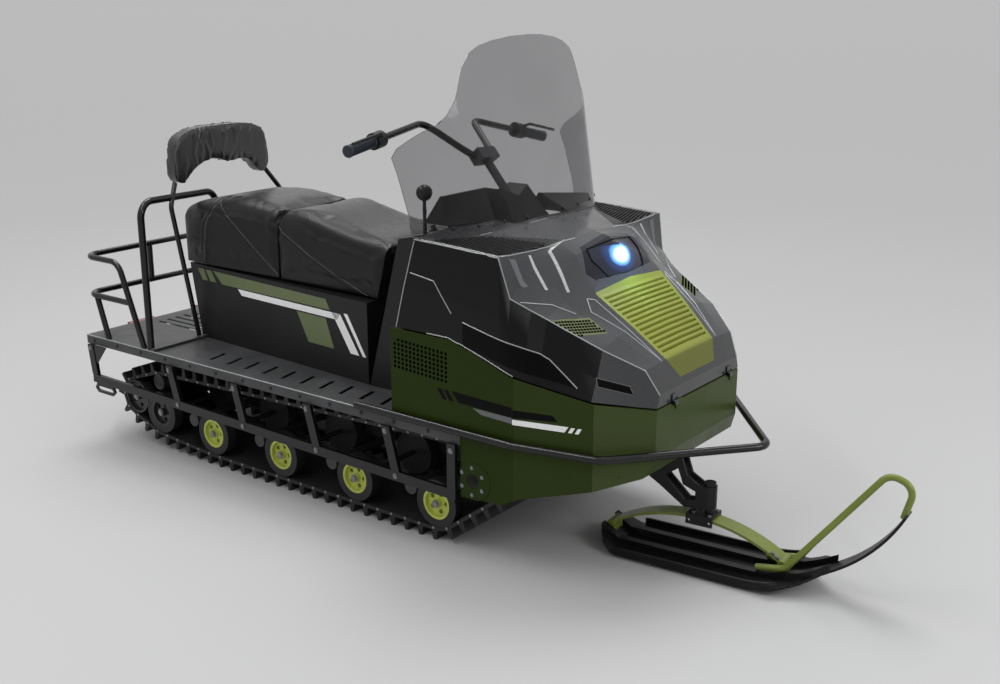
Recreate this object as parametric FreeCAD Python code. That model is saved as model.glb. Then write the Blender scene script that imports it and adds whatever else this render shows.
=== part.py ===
import FreeCAD, Part
import math
import os

# A utility snowmobile with two tracks and one steered ski.
# Millimetres. +X runs forward to the ski, +Y to the rider's left, +Z up from the ground.

Vector = FreeCAD.Vector
Y_AXIS = Vector(0, 1, 0)
Z_AXIS = Vector(0, 0, 1)

# How far a cutting tool runs past what it cuts, and the gap round a panel that moves.
OVERRUN = 40.0
PANEL_GAP = 6.0
SEAT_GAP = 0.3

# Deck: one sheet over both tracks, with a rail along each edge.
DECK_REAR_X = -1525.0
DECK_FRONT_X = 500.0
DECK_TOP_Z = 406.0
DECK_SHEET = 4.0
DECK_HALF_WIDTH = 438.0
RAIL_HEIGHT = 34.0
RAIL_WIDTH = 12.0
STEP_SLOT_LENGTH = 92.0
STEP_SLOT_WIDTH = 16.0
STEP_SLOT_PITCH = 92.0
STEP_SLOT_COUNT = 10
STEP_SLOT_FIRST_X = -887.0
STEP_SLOT_Y = 332.0
STEP_SLOT_ANGLE = 12.0
REAR_SLOT_LENGTH = 250.0
REAR_SLOT_WIDTH = 14.0
REAR_SLOT_PITCH = 41.0
REAR_SLOT_COUNT = 8
REAR_SLOT_X = -1336.0
CROSS_BAR_X = -1136.0
CROSS_BAR_HEIGHT = 10.0
CROSS_BAR_WIDTH = 20.0

# Side guards: a flat rail under each edge on slanted struts, with a tie loop at its rear end.
GUARD_Y = 444.0
GUARD_DEPTH = 14.0
GUARD_BAR = 32.0
GUARD_REAR_TOP_X = -1495.0
GUARD_REAR_LOW_X = -1474.0
GUARD_FRONT_X = 300.0
GUARD_REAR_Z = 240.0
GUARD_FRONT_Z = 208.0
GUARD_STRUT_LEAN = 48.0
GUARD_STRUT_X = (-1031.0, -681.0, -323.0, 28.0)
GUSSET_LENGTH = 88.0
GUSSET_DEPTH = 72.0
TIE_LOOP_X = -1424.0
TIE_LOOP_HALF = 62.0
TIE_LOOP_LOW_Z = 184.0
TIE_LOOP_BAR = 11.0
TIE_LOOP_THICKNESS = 8.0

# Tracks: belts that run round fixed rollers.
TRACK_OUTER_Y = 386.0
TRACK_INNER_Y = 44.0
BELT_THICKNESS = 12.0
LUG_HEIGHT = 32.0
LUG_BASE = 22.0
LUG_TIP = 12.0
LUG_PITCH = 60.0
WHEEL_RADIUS = 80.0
WHEEL_FIRST_X = 183.0
WHEEL_SPACING = 354.0
WHEEL_COUNT = 4
REAR_WHEEL_X = -1175.0
REAR_WHEEL_LIFT = 20.0
TOP_ROLLER_RADIUS = 30.0
TOP_ROLLER_Z = 266.0
IDLER_X = -1317.0
IDLER_Z = 181.0
IDLER_RADIUS = 66.0
SPROCKET_X = 373.0
SPROCKET_Z = 265.0
SPROCKET_RADIUS = 80.0
SPROCKET_TOOTH = 10.0
SPROCKET_TEETH = 9
WHEEL_WIDTH = 38.0
WHEEL_INSET = 2.0
RIM_RADIUS = 53.0
RIM_HUB_RADIUS = 15.0
RIM_DISH = 12.0
RIM_WEB = 8.0
RIM_HOLE_RADIUS = 8.0
RIM_HOLE_COUNT = 5
AXLE_RADIUS = 9.0
PIVOT_BACK = 106.0
PIVOT_RISE = 30.0
PIVOT_RADIUS = 13.0
KNUCKLE_RADIUS = 24.0
ARM_WIDTH = 26.0
ARM_THICKNESS = 12.0
BEAM_HALF_WIDTH = 30.0
BEAM_LOW_Z = 120.0
BEAM_REAR_X = -1400.0
BEAM_FRONT_X = 420.0
BEAM_KNEE_X = 130.0
BEAM_FRONT_LOW_Z = 212.0
BEAM_WALL = 5.0

# Cargo rack, in round tube, and the passenger's handle on the right of the seat.
RACK_TUBE = 11.0
RACK_HALF_WIDTH = 425.0
RACK_REAR_X = -1515.0
RACK_SIDE_X = -1308.0
RACK_FOOT_X = -1190.0
RACK_TOP_Z = 715.0
RACK_LOW_Z = 568.0
RACK_BEND = 60.0
RACK_STRUT_Y = 122.0
RACK_POST_LEAN = 52.0
HANDLE_HOOP_TUBE = 13.0
HANDLE_HOOP_X = -1150.0
HANDLE_HOOP_TOP_Z = 956.0
HANDLE_HOOP_INNER_X = -1240.0
HANDLE_HOOP_INNER_Z = 938.0
HANDLE_HOOP_BEND = 60.0

# Seat box, cushions and backrest.
SEAT_BOX_REAR_X = -1148.0
SEAT_BOX_FRONT_X = -222.0
SEAT_BOX_REAR_HALF = 182.0
SEAT_BOX_FRONT_HALF = 246.0
SEAT_BOX_TOP_Z = 690.0
SEAT_BOX_REAR_LEAN = 46.0
SEAT_BOX_SHEET = 5.0
CUSHION_HALF = 205.0
CUSHION_CORNER = 62.0
CUSHION_REAR_X = -1212.0
CUSHION_SPLIT_X = -690.0
CUSHION_FRONT_X = -206.0
CUSHION_CREST_Z = 958.0
PAD_X = -1208.0
PAD_THICKNESS = 56.0
PAD_HALF_WIDTH = 240.0
PAD_TOP_Z = 1206.0
PAD_LOW_Z = 990.0
BACK_POST_TUBE = 9.0
BACK_POST_FOOT_X = -1150.0
BACK_POST_FOOT_Y = 198.0
BACK_POST_KINK_X = -1167.0
BACK_POST_KINK_Y = 275.0
BACK_POST_KINK_Z = 917.0
BACK_POST_TOP_Y = 206.0
BACK_POST_BEND = 40.0

# Nose: the lower pan, with the hood above it.
NOSE_REAR_X = 52.0
NOSE_FRONT_X = 893.0
NOSE_HALF_WIDTH = 436.0
NOSE_FRONT_HALF = 251.0
NOSE_SHOULDER_X = 525.0
NOSE_CHEEK_X = 765.0
NOSE_CHEEK_HALF = 382.0
PAN_SHEET = 5.0
PAN_TOP_Z = 694.0
PAN_TIP_Z = 547.0
PAN_LOW_REAR_X = 326.0
PAN_LOW_Z = 203.0
PAN_FRONT_LOW_Z = 342.0
PAN_CREASE_Z = 400.0
PAN_DRAW_BACK = 25.0
PAN_STEP_X = 506.0
PAN_HOLE_RADIUS = 24.0
PAN_BOSS_RADIUS = 60.0
PAN_BOSS_DEPTH = 3.0
HOOD_SHEET = 5.0
HOOD_TOP_Z = 1003.0
HOOD_REAR_SLOPE = 0.317
HOOD_SLOT_X = 306.0
HOOD_SLOT_HALF = 134.0
HOOD_OPENING_Z = 900.0
LAMP_HALF_WIDTH = 128.0
LAMP_TOP_Z = 950.0
LAMP_LOW_Z = 872.0
LAMP_FRONT_X = 652.0
GRILLE_REAR_X = 640.0
GRILLE_FRONT_X = 856.0
GRILLE_REAR_HALF = 190.0
GRILLE_FRONT_HALF = 142.0
GRILLE_TIP_X = 884.0
GRILLE_TIP_HALF = 104.0
GRILLE_SLOT = 7.0
GRILLE_SLOT_COUNT = 14
GRILLE_BORDER = 14.0
VENT_CENTRE_X = 672.0
VENT_CENTRE_Y = 314.0
VENT_HALF_X = 60.0
VENT_HALF_Y = 58.0
REAR_EDGE_SETBACK = 24.0

# Cowl: a lobe on each side of the instruments. The left one is lower, as the photograph shows.
LOBE_REAR_X = 86.0
LOBE_FRONT_X = 235.0
LOBE_RIDGE_X = 150.0
LOBE_INNER_Y = 140.0
LOBE_OUTER_Y = 305.0
LOBE_LEAN_IN = 44.0
LOBE_TOP_Z = 1092.0
LEFT_LOBE_FORWARD = 80.0
LEFT_LOBE_OUTER_Y = 375.0
LEFT_LOBE_TOP_Z = 1060.0
LEFT_LOBE_OUTER_Z = 1024.0
LOBE_RIDGE = 10.0

# Hinges at the nose.
HINGE_KNUCKLE = 7.0
HINGE_PIN = 3.0
HINGE_STANDOFF = 1.0
HINGE_BORE_GAP = 0.3
HINGE_LENGTH = 22.0
HINGE_Y = 170.0
HINGE_LEAF = 4.0
HINGE_LEAF_HEIGHT = 24.0

# Windscreen: a leaning sheet with a bent wing at each side.
SCREEN_BASE_X = 336.0
SCREEN_BASE_Z = 985.0
SCREEN_TOP_Z = 1561.0
SCREEN_LEAN = 88.0
SCREEN_SHEET = 4.0
SCREEN_FRONT_RADIUS = 1340.0
SCREEN_CORNER_RADIUS = 150.0
SCREEN_HALF_WIDTH = 432.0
SCREEN_CORNER_TURN = 82.0
SCREEN_WING = 64.0
SCREEN_REAR_X = 78.0

# Bumper tube round the nose.
BUMPER_TUBE = 12.0
BUMPER_Y = 450.0
BUMPER_Z = 418.0
BUMPER_REAR_X = -90.0
BUMPER_SHOULDER_X = 520.0
BUMPER_CHEEK_X = 800.0
BUMPER_CHEEK_Y = 392.0
BUMPER_TIP_X = 1125.0
BUMPER_BEND = 45.0

# Console, instrument pod and gear lever.
CONSOLE_REAR_X = -214.0
CONSOLE_TOP_X = -73.0
CONSOLE_FRONT_X = 72.0
CONSOLE_HALF_WIDTH = 248.0
CONSOLE_TOP_Z = 925.0
CONSOLE_CREST_Z = 958.0
CONSOLE_SHELF = 14.0
KNEE_PANEL_X = 96.0
KNEE_PANEL_SHEET = 4.0
KNEE_PANEL_HALF = 428.0
POD_REAR_X = 58.0
POD_FRONT_X = 296.0
POD_HALF_WIDTH = 106.0
POD_TOP_Z = 1088.0
POD_TOP_REAR_X = 132.0
POD_TOP_FRONT_X = 204.0
POD_TOP_HALF = 70.0
POD_VALLEY = 26.0
LEVER_X = 20.0
LEVER_Y = 226.0
LEVER_STEM = 6.0
LEVER_KNOB = 26.0
LEVER_HEIGHT = 122.0

# Rear lamps and the towing plate with its pin hole.
REAR_LAMP_DEPTH = 20.0
REAR_LAMP_INNER_Y = 110.0
REAR_LAMP_OUTER_Y = 230.0
HITCH_HALF = 90.0
HITCH_TIP_HALF = 22.0
HITCH_REACH = 34.0
HITCH_PLATE = 10.0
HITCH_HOLE = 8.0

# Engine: one plain block.
ENGINE_REAR_X = 430.0
ENGINE_FRONT_X = 715.0
ENGINE_HALF_WIDTH = 180.0
ENGINE_HEIGHT = 290.0

# Steering: a leaning column with a wide bar, and a ski on a kingpin. Both stand a little to the left.
STEER_REST = 5.0
COLUMN_TILT = 40.0
CLAMP_X = 83.0
CLAMP_Z = 1176.0
COLUMN_RADIUS = 14.0
COLUMN_LENGTH = 200.0
COLUMN_CLEARANCE = 1.0
CLAMP_WIDTH = 96.0
CLAMP_DEPTH = 46.0
CLAMP_HEIGHT = 40.0
BAR_TUBE = 11.0
BAR_CENTRE = 52.0
BAR_RISE = 172.0
BAR_RISER_Y = 140.0
BAR_PULL = 46.0
BAR_END_Y = 545.0
BAR_END_RISE = 98.0
BAR_END_PULL = 64.0
BAR_BEND = 46.0
GRIP_LENGTH = 130.0
GRIP_RADIUS = 17.0
SWITCH_LENGTH = 44.0
SWITCH_RADIUS = 26.0
LEVER_ROOT_SHARE = 0.8
BRAKE_LEVER_LENGTH = 150.0
BRAKE_LEVER_RADIUS = 5.0

# Ski and what carries it. Distances run forward from the kingpin along the ski.
KINGPIN_X = 945.0
KINGPIN_RADIUS = 12.0
KINGPIN_CLEARANCE = 0.3
COLLAR_RADIUS = 13.5
BEARING_RADIUS = 22.0
BEARING_LOW_Z = 178.0
BEARING_TOP_Z = 250.0
KINGPIN_NUT_RADIUS = 18.0
KINGPIN_NUT_HEIGHT = 11.0
HORN_REAR_X = 660.0
HORN_FRONT_X = 968.0
HORN_LOW_Z = 168.0
HORN_TOP_Z = 340.0
HORN_INNER_Y = 14.0
HORN_OUTER_Y = 22.0
SKI_HALF_WIDTH = 130.0
SKI_HEEL = 335.0
SKI_TIP = 590.0
SKI_SHEET = 8.0
SKI_FLANGE = 26.0
SKI_FLANGE_SHEET = 7.0
SKI_RIDGE_INNER = 35.0
SKI_RIDGE_OUTER = 60.0
SKI_HEEL_LIFT = 36.0
SKI_HEEL_RUN = 62.0
SKI_FLAT = 140.0
SKI_BEND = 500.0
RUNNER_DEPTH = 8.0
RUNNER_HALF_WIDTH = 9.0
SPRING_HALF_WIDTH = 30.0
SPRING_THICKNESS = 9.0
SPRING_REAR = 318.0
SPRING_FRONT = 245.0
SPRING_END_Z = 60.0
SPRING_TOP_Z = 152.0
SPRING_EYE = 13.0
SADDLE_PLATE = 8.0
SADDLE_REAR = 60.0
SADDLE_FRONT = 25.0
SADDLE_HALF_WIDTH = 39.0
CHEEK_LOW_Z = 128.0
CHEEK_HOLE = 5.0
HANDLE_TUBE = 10.0
HANDLE_FOOT = 175.0
HANDLE_FOOT_Y = 47.0
HANDLE_BASE = 262.0
HANDLE_CROSS = 275.0
HANDLE_MEET = 335.0
HANDLE_TOP = 525.0
HANDLE_TOP_Z = 400.0
HANDLE_TIP = 600.0
HANDLE_TIP_Z = 375.0
HANDLE_END = 575.0
HANDLE_BEND = 42.0
HANDLE_CROSS_BEND = 24.0


def box(x0, x1, y0, y1, z0, z1):
    """A block between two corners."""
    return Part.makeBox(x1 - x0, y1 - y0, z1 - z0, Vector(x0, y0, z0))


def face_of(points):
    """The flat face inside a closed outline."""
    return Part.Face(Part.makePolygon(points + points[:1]))


def prism_y(outline, y0, y1):
    """An outline of (x, z) pairs pushed along Y."""
    face = face_of([Vector(x, y0, z) for x, z in outline])
    return face.extrude(Vector(0, y1 - y0, 0))


def prism_z(outline, z0, z1):
    """An outline of (x, y) pairs pushed along Z."""
    face = face_of([Vector(x, y, z0) for x, y in outline])
    return face.extrude(Vector(0, 0, z1 - z0))


def prism_x(outline, x0, x1):
    """An outline of (y, z) pairs pushed along X."""
    face = face_of([Vector(x0, y, z) for y, z in outline])
    return face.extrude(Vector(x1 - x0, 0, 0))


def rod_y(radius, x, z, y0, y1):
    """A round bar along Y."""
    return Part.makeCylinder(radius, y1 - y0, Vector(x, y0, z), Y_AXIS)


def rod_between(radius, start, end):
    """A round bar between two points."""
    return Part.makeCylinder(radius, (end - start).Length, start, end - start)


def flat_bar(start, end, width, y0, y1):
    """A flat bar between two (x, z) points."""
    run = Vector(end[0] - start[0], 0, end[1] - start[1])
    across = Y_AXIS.cross(run).normalize() * (width / 2)
    corners = [(start[0] + across.x, start[1] + across.z), (end[0] + across.x, end[1] + across.z),
               (end[0] - across.x, end[1] - across.z), (start[0] - across.x, start[1] - across.z)]
    return prism_y(corners, y0, y1)


def mirrored(shape):
    """The same piece on the other side of the middle plane."""
    return shape.mirror(Vector(0, 0, 0), Y_AXIS)


def joined(shapes):
    """One shape from several that touch."""
    return shapes[0].multiFuse(shapes[1:]).removeSplitter()


def grouped(shapes):
    """Several solids that do not touch, as one piece."""
    solids = []
    for shape in shapes:
        solids.extend(shape.Solids)
    return Part.makeCompound(solids)


def bent_path(points, bend):
    """Straight runs joined by tangent arcs of one radius."""
    edges = []
    start = points[0]
    for before, corner, after in zip(points, points[1:], points[2:]):
        back = (before - corner).normalize()
        ahead = (after - corner).normalize()
        half = back.getAngle(ahead) / 2
        reach = bend / math.tan(half)
        enter = corner + back * reach
        leave = corner + ahead * reach
        middle_way = (back + ahead).normalize()
        middle = corner + middle_way * (bend / math.sin(half) - bend)
        edges.append(Part.makeLine(start, enter))
        edges.append(Part.Arc(enter, middle, leave).toShape())
        start = leave
    edges.append(Part.makeLine(start, points[-1]))
    return Part.Wire(edges)


def tube(points, radius, bend):
    """A round tube along a bent path, closed at its ends."""
    path = bent_path(points, bend)
    ring = Part.Wire(Part.makeCircle(radius, points[0], points[1] - points[0]))
    return path.makePipeShell([ring], True, True)


def slab(outline_low, outline_high, z_low, z_high):
    """A solid whose straight sides lean from one four-sided outline to another."""
    low = Part.makePolygon([Vector(x, y, z_low) for x, y in outline_low + outline_low[:1]])
    high = Part.makePolygon([Vector(x, y, z_high) for x, y in outline_high + outline_high[:1]])
    return Part.makeLoft([low, high], True, True)


def trapezium(x0, x1, half0, half1):
    """A four-sided outline, as wide as half0 at x0 and half1 at x1."""
    return [(x0, -half0), (x1, -half1), (x1, half1), (x0, half0)]


def between(places, x):
    """The height or width that a row of (x, value) pairs gives at x."""
    for (x0, v0), (x1, v1) in zip(places, places[1:]):
        if x <= x1:
            return v0 + (v1 - v0) * (x - x0) / (x1 - x0)
    return places[-1][1]


# Deck and side guards

def footboard_slots(side):
    """The slanted slots that clear snow from one footboard."""
    cuts = []
    for number in range(STEP_SLOT_COUNT):
        slot = box(-STEP_SLOT_WIDTH / 2, STEP_SLOT_WIDTH / 2, -STEP_SLOT_LENGTH / 2, STEP_SLOT_LENGTH / 2,
                   -OVERRUN, OVERRUN)
        slot.rotate(Vector(0, 0, 0), Z_AXIS, -side * STEP_SLOT_ANGLE)
        slot.translate(Vector(STEP_SLOT_FIRST_X + number * STEP_SLOT_PITCH, side * STEP_SLOT_Y, DECK_TOP_Z))
        cuts.append(slot)
    return cuts


def rear_slots():
    """The long slots in the load deck behind the seat."""
    cuts = []
    for number in range(REAR_SLOT_COUNT):
        y = (number - (REAR_SLOT_COUNT - 1) / 2) * REAR_SLOT_PITCH
        cuts.append(box(REAR_SLOT_X - REAR_SLOT_LENGTH / 2, REAR_SLOT_X + REAR_SLOT_LENGTH / 2,
                        y - REAR_SLOT_WIDTH / 2, y + REAR_SLOT_WIDTH / 2,
                        DECK_TOP_Z - OVERRUN, DECK_TOP_Z + OVERRUN))
    return cuts


def make_deck():
    """The slotted deck sheet with its edge rails, rear beam and cross bars."""
    low = DECK_TOP_Z - DECK_SHEET
    wide_end = PAN_LOW_REAR_X - SEAT_GAP
    narrow = NOSE_HALF_WIDTH - PAN_SHEET - SEAT_GAP
    sheet = box(DECK_REAR_X, wide_end, -DECK_HALF_WIDTH, DECK_HALF_WIDTH, low, DECK_TOP_Z)
    for cut in footboard_slots(-1) + footboard_slots(1) + rear_slots():
        sheet = sheet.cut(cut)
    pieces = [sheet, box(wide_end, DECK_FRONT_X, -narrow, narrow, low, DECK_TOP_Z)]
    seat_side = [(SEAT_BOX_REAR_X, SEAT_BOX_REAR_HALF), (SEAT_BOX_FRONT_X, SEAT_BOX_FRONT_HALF)]
    for side in (-1, 1):
        inner = side * (DECK_HALF_WIDTH - RAIL_WIDTH)
        outer = side * DECK_HALF_WIDTH
        pieces.append(box(DECK_REAR_X, wide_end, min(inner, outer), max(inner, outer),
                          DECK_TOP_Z - RAIL_HEIGHT, DECK_TOP_Z))
        foot = side * (between(seat_side, CROSS_BAR_X + CROSS_BAR_WIDTH) + SEAT_GAP)
        pieces.append(box(CROSS_BAR_X, CROSS_BAR_X + CROSS_BAR_WIDTH, min(foot, outer), max(foot, outer),
                          DECK_TOP_Z, DECK_TOP_Z + CROSS_BAR_HEIGHT))
    pieces.append(box(DECK_REAR_X, DECK_REAR_X + RAIL_WIDTH, -DECK_HALF_WIDTH, DECK_HALF_WIDTH,
                      DECK_TOP_Z - RAIL_HEIGHT, DECK_TOP_Z))
    return joined(pieces)


def guard_line(x):
    """The middle height of the lower guard rail."""
    return between([(GUARD_REAR_LOW_X, GUARD_REAR_Z), (GUARD_FRONT_X, GUARD_FRONT_Z)], x)


def guard_bar(start, end, y0, y1):
    """A flat bar of the guard between two (x, z) points."""
    return flat_bar(start, end, GUARD_BAR, y0, y1)


def tie_loop(y0, y1):
    """The flat loop under the rear end of the rail."""
    shape_shares = ((-0.80, 1.0), (-1.0, 0.45), (-0.72, 0.0), (0.72, 0.0), (1.0, 0.45), (0.80, 1.0))
    top = guard_line(TIE_LOOP_X + TIE_LOOP_HALF) - GUARD_BAR / 2 - 2 * SEAT_GAP
    height = top - TIE_LOOP_LOW_Z

    def placed(half, low, rise):
        return [(TIE_LOOP_X + half * x, low + rise * z) for x, z in shape_shares]

    outer = prism_y(placed(TIE_LOOP_HALF, TIE_LOOP_LOW_Z, height), y0, y1)
    slot = placed(TIE_LOOP_HALF - TIE_LOOP_BAR, TIE_LOOP_LOW_Z + TIE_LOOP_BAR, height - 2 * TIE_LOOP_BAR)
    return outer.cut(prism_y(slot, y0 - OVERRUN, y1 + OVERRUN))


def rear_post_edge(z):
    """The front edge of the guard's slanted rear post at one height."""
    top_z = DECK_TOP_Z - RAIL_HEIGHT + GUARD_BAR / 2
    middle = between([(GUARD_REAR_Z, GUARD_REAR_LOW_X), (top_z, GUARD_REAR_TOP_X)], z)
    return middle + GUARD_BAR / 2 + 2 * SEAT_GAP


def make_side_guard():
    """The right guard: rail, struts, posts, gusset and tie loop, each its own bar."""
    y0 = -GUARD_Y - GUARD_DEPTH / 2
    y1 = -GUARD_Y + GUARD_DEPTH / 2
    under = DECK_TOP_Z - RAIL_HEIGHT
    half = GUARD_BAR / 2
    start_x = GUARD_REAR_LOW_X - half
    end_x = GUARD_FRONT_X + half
    start_z = guard_line(GUARD_REAR_LOW_X)
    end_z = guard_line(GUARD_FRONT_X)
    bars = [guard_bar((start_x, start_z), (end_x, end_z), y0, y1)]
    above = box(start_x - OVERRUN, end_x + OVERRUN, y0, y1, under, under + 2 * OVERRUN)
    rail_top = half + 2 * SEAT_GAP
    rail_space = prism_y([(start_x - OVERRUN, 0), (end_x + OVERRUN, 0), (end_x + OVERRUN, end_z + rail_top),
                          (end_x, end_z + rail_top), (start_x, start_z + rail_top),
                          (start_x - OVERRUN, start_z + rail_top)], y0, y1)
    posts = [(GUARD_REAR_TOP_X, GUARD_REAR_LOW_X), (GUARD_FRONT_X, GUARD_FRONT_X)]
    posts += [(x, x + GUARD_STRUT_LEAN) for x in GUARD_STRUT_X]
    for top_x, foot_x in posts:
        bar = guard_bar((top_x, under + half), (foot_x, guard_line(foot_x)), y0, y1)
        bars.append(bar.cut(above).cut(rail_space))
    thin_y0 = -GUARD_Y - TIE_LOOP_THICKNESS / 2
    thin_y1 = -GUARD_Y + TIE_LOOP_THICKNESS / 2
    gusset = [(rear_post_edge(under), under), (rear_post_edge(under) + GUSSET_LENGTH - half, under),
              (rear_post_edge(under - GUSSET_DEPTH), under - GUSSET_DEPTH)]
    bars.append(prism_y(gusset, thin_y0, thin_y1))
    bars.append(tie_loop(thin_y0, thin_y1))
    return grouped(bars)


# Tracks and running gear

def wheel_places():
    """The (x, z) middles of the ground wheels, from the front one back."""
    ground_z = LUG_HEIGHT + BELT_THICKNESS + WHEEL_RADIUS
    places = [(WHEEL_FIRST_X - number * WHEEL_SPACING, ground_z) for number in range(WHEEL_COUNT)]
    places.append((REAR_WHEEL_X, ground_z + REAR_WHEEL_LIFT))
    return places


def roller_ring():
    """The (x, z, radius) rollers in the order in which the belt meets them, seen from the right side."""
    ground_z = LUG_HEIGHT + BELT_THICKNESS + WHEEL_RADIUS
    last_ground_x = WHEEL_FIRST_X - (WHEEL_COUNT - 1) * WHEEL_SPACING
    return [(SPROCKET_X, SPROCKET_Z, SPROCKET_RADIUS),
            (REAR_WHEEL_X, TOP_ROLLER_Z, TOP_ROLLER_RADIUS),
            (IDLER_X, IDLER_Z, IDLER_RADIUS),
            (REAR_WHEEL_X, ground_z + REAR_WHEEL_LIFT, WHEEL_RADIUS),
            (last_ground_x, ground_z, WHEEL_RADIUS),
            (WHEEL_FIRST_X, ground_z, WHEEL_RADIUS)]


def tangent_angle(first, second, extra):
    """The angle from a roller's middle to the outer tangent that leads to the next roller."""
    dx = second[0] - first[0]
    dz = second[1] - first[1]
    distance = math.hypot(dx, dz)
    return math.atan2(dz, dx) - math.acos((first[2] - second[2]) / distance)


def belt_path(offset):
    """The belt's runs at one offset outside the rollers, as (kind, data) steps."""
    ring = roller_ring()
    count = len(ring)
    angles = [tangent_angle(ring[i], ring[(i + 1) % count], offset) for i in range(count)]
    steps = []
    for i in range(count):
        x, z, radius = ring[i]
        enter = angles[i - 1]
        leave = angles[i]
        while leave < enter:
            leave += 2 * math.pi
        steps.append(("arc", x, z, radius + offset, enter, leave))
        end = (x + (radius + offset) * math.cos(leave), z + (radius + offset) * math.sin(leave))
        nx, nz, next_radius = ring[(i + 1) % count]
        start = (nx + (next_radius + offset) * math.cos(leave), nz + (next_radius + offset) * math.sin(leave))
        steps.append(("line", end, start))
    return steps


def belt_wire(offset):
    """A closed wire along the belt at one offset outside the rollers."""
    edges = []
    for step in belt_path(offset):
        if step[0] == "line":
            edges.append(Part.makeLine(Vector(step[1][0], 0, step[1][1]), Vector(step[2][0], 0, step[2][1])))
            continue
        kind, x, z, radius, enter, leave = step
        spots = [Vector(x + radius * math.cos(a), 0, z + radius * math.sin(a))
                 for a in (enter, (enter + leave) / 2, leave)]
        if (spots[0] - spots[2]).Length > SEAT_GAP:
            edges.append(Part.Arc(*spots).toShape())
    return Part.Wire(Part.__sortEdges__(edges))


def belt_stations(wire, count):
    """Evenly spaced points on a wire, each with its direction."""
    edges = wire.OrderedEdges
    length = wire.Length
    stations = []
    for number in range(count):
        left = length * number / count
        for edge in edges:
            if left <= edge.Length:
                forward = edge.Orientation == "Forward"
                at = edge.getParameterByLength(left if forward else edge.Length - left)
                along = edge.tangentAt(at)
                stations.append((edge.valueAt(at), along if forward else -along))
                break
            left -= edge.Length
    return stations


def make_track():
    """The right belt with its lugs, as one closed loop."""
    outer = belt_wire(BELT_THICKNESS)
    middle = Part.Face(outer)
    count = int(round(outer.Length / LUG_PITCH))
    rim = []
    for point, along in belt_stations(outer, count):
        out = along.cross(Y_AXIS).normalize()
        if middle.isInside(point + out * (BELT_THICKNESS / 2), SEAT_GAP, True):
            out = -out
        tip = point + out * LUG_HEIGHT
        rim.extend([point - along * (LUG_BASE / 2), tip - along * (LUG_TIP / 2),
                    tip + along * (LUG_TIP / 2), point + along * (LUG_BASE / 2)])
    inner = belt_wire(0)
    loop = Part.Face([Part.makePolygon(rim + rim[:1]), inner])
    track = loop.extrude(Vector(0, TRACK_OUTER_Y - TRACK_INNER_Y, 0))
    track.translate(Vector(0, -TRACK_OUTER_Y, 0))
    return track


def wheel_rows():
    """The two rows of wheels in a track, as (outer, inner) ends of each wheel in Y."""
    outer = -(TRACK_OUTER_Y - WHEEL_INSET)
    inner = -(TRACK_INNER_Y + WHEEL_INSET)
    return [(outer, outer + WHEEL_WIDTH), (inner - WHEEL_WIDTH, inner)]


def make_tyres():
    """The rubber rings of the right track's outer ground wheels."""
    y0, y1 = wheel_rows()[0]
    return grouped([rod_y(WHEEL_RADIUS, x, z, y0, y1).cut(rod_y(RIM_RADIUS, x, z, y0 - OVERRUN, y1 + OVERRUN))
                    for x, z in wheel_places()])


def pierced_disc(x, z, radius, y0, y1):
    """A wheel body with a dish, a hub and a ring of holes in its outer face."""
    disc = rod_y(radius, x, z, y0, y1)
    dish = rod_y(radius - RIM_WEB, x, z, y0 - OVERRUN, y0 + RIM_DISH)
    disc = disc.cut(dish.cut(rod_y(RIM_HUB_RADIUS, x, z, y0 - OVERRUN, y0 + RIM_DISH)))
    spread = (radius - RIM_WEB + RIM_HUB_RADIUS) / 2
    for number in range(RIM_HOLE_COUNT):
        turn = 2 * math.pi * number / RIM_HOLE_COUNT
        disc = disc.cut(rod_y(RIM_HOLE_RADIUS, x + spread * math.cos(turn), z + spread * math.sin(turn),
                              y0 - OVERRUN, y1 + OVERRUN))
    return disc


def make_rims():
    """The pierced wheel bodies inside the right tyres, with the idler and the top roller."""
    y0, y1 = wheel_rows()[0]
    discs = [(x, z, pierced_disc(x, z, RIM_RADIUS, y0, y1)) for x, z in wheel_places()]
    discs.append((IDLER_X, IDLER_Z, pierced_disc(IDLER_X, IDLER_Z, IDLER_RADIUS, y0, y1)))
    discs.append((REAR_WHEEL_X, TOP_ROLLER_Z, rod_y(TOP_ROLLER_RADIUS, REAR_WHEEL_X, TOP_ROLLER_Z, y0, y1)))
    bore = AXLE_RADIUS + SEAT_GAP
    return grouped([disc.cut(rod_y(bore, x, z, y0 - OVERRUN, y1 + OVERRUN)) for x, z, disc in discs])


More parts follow.
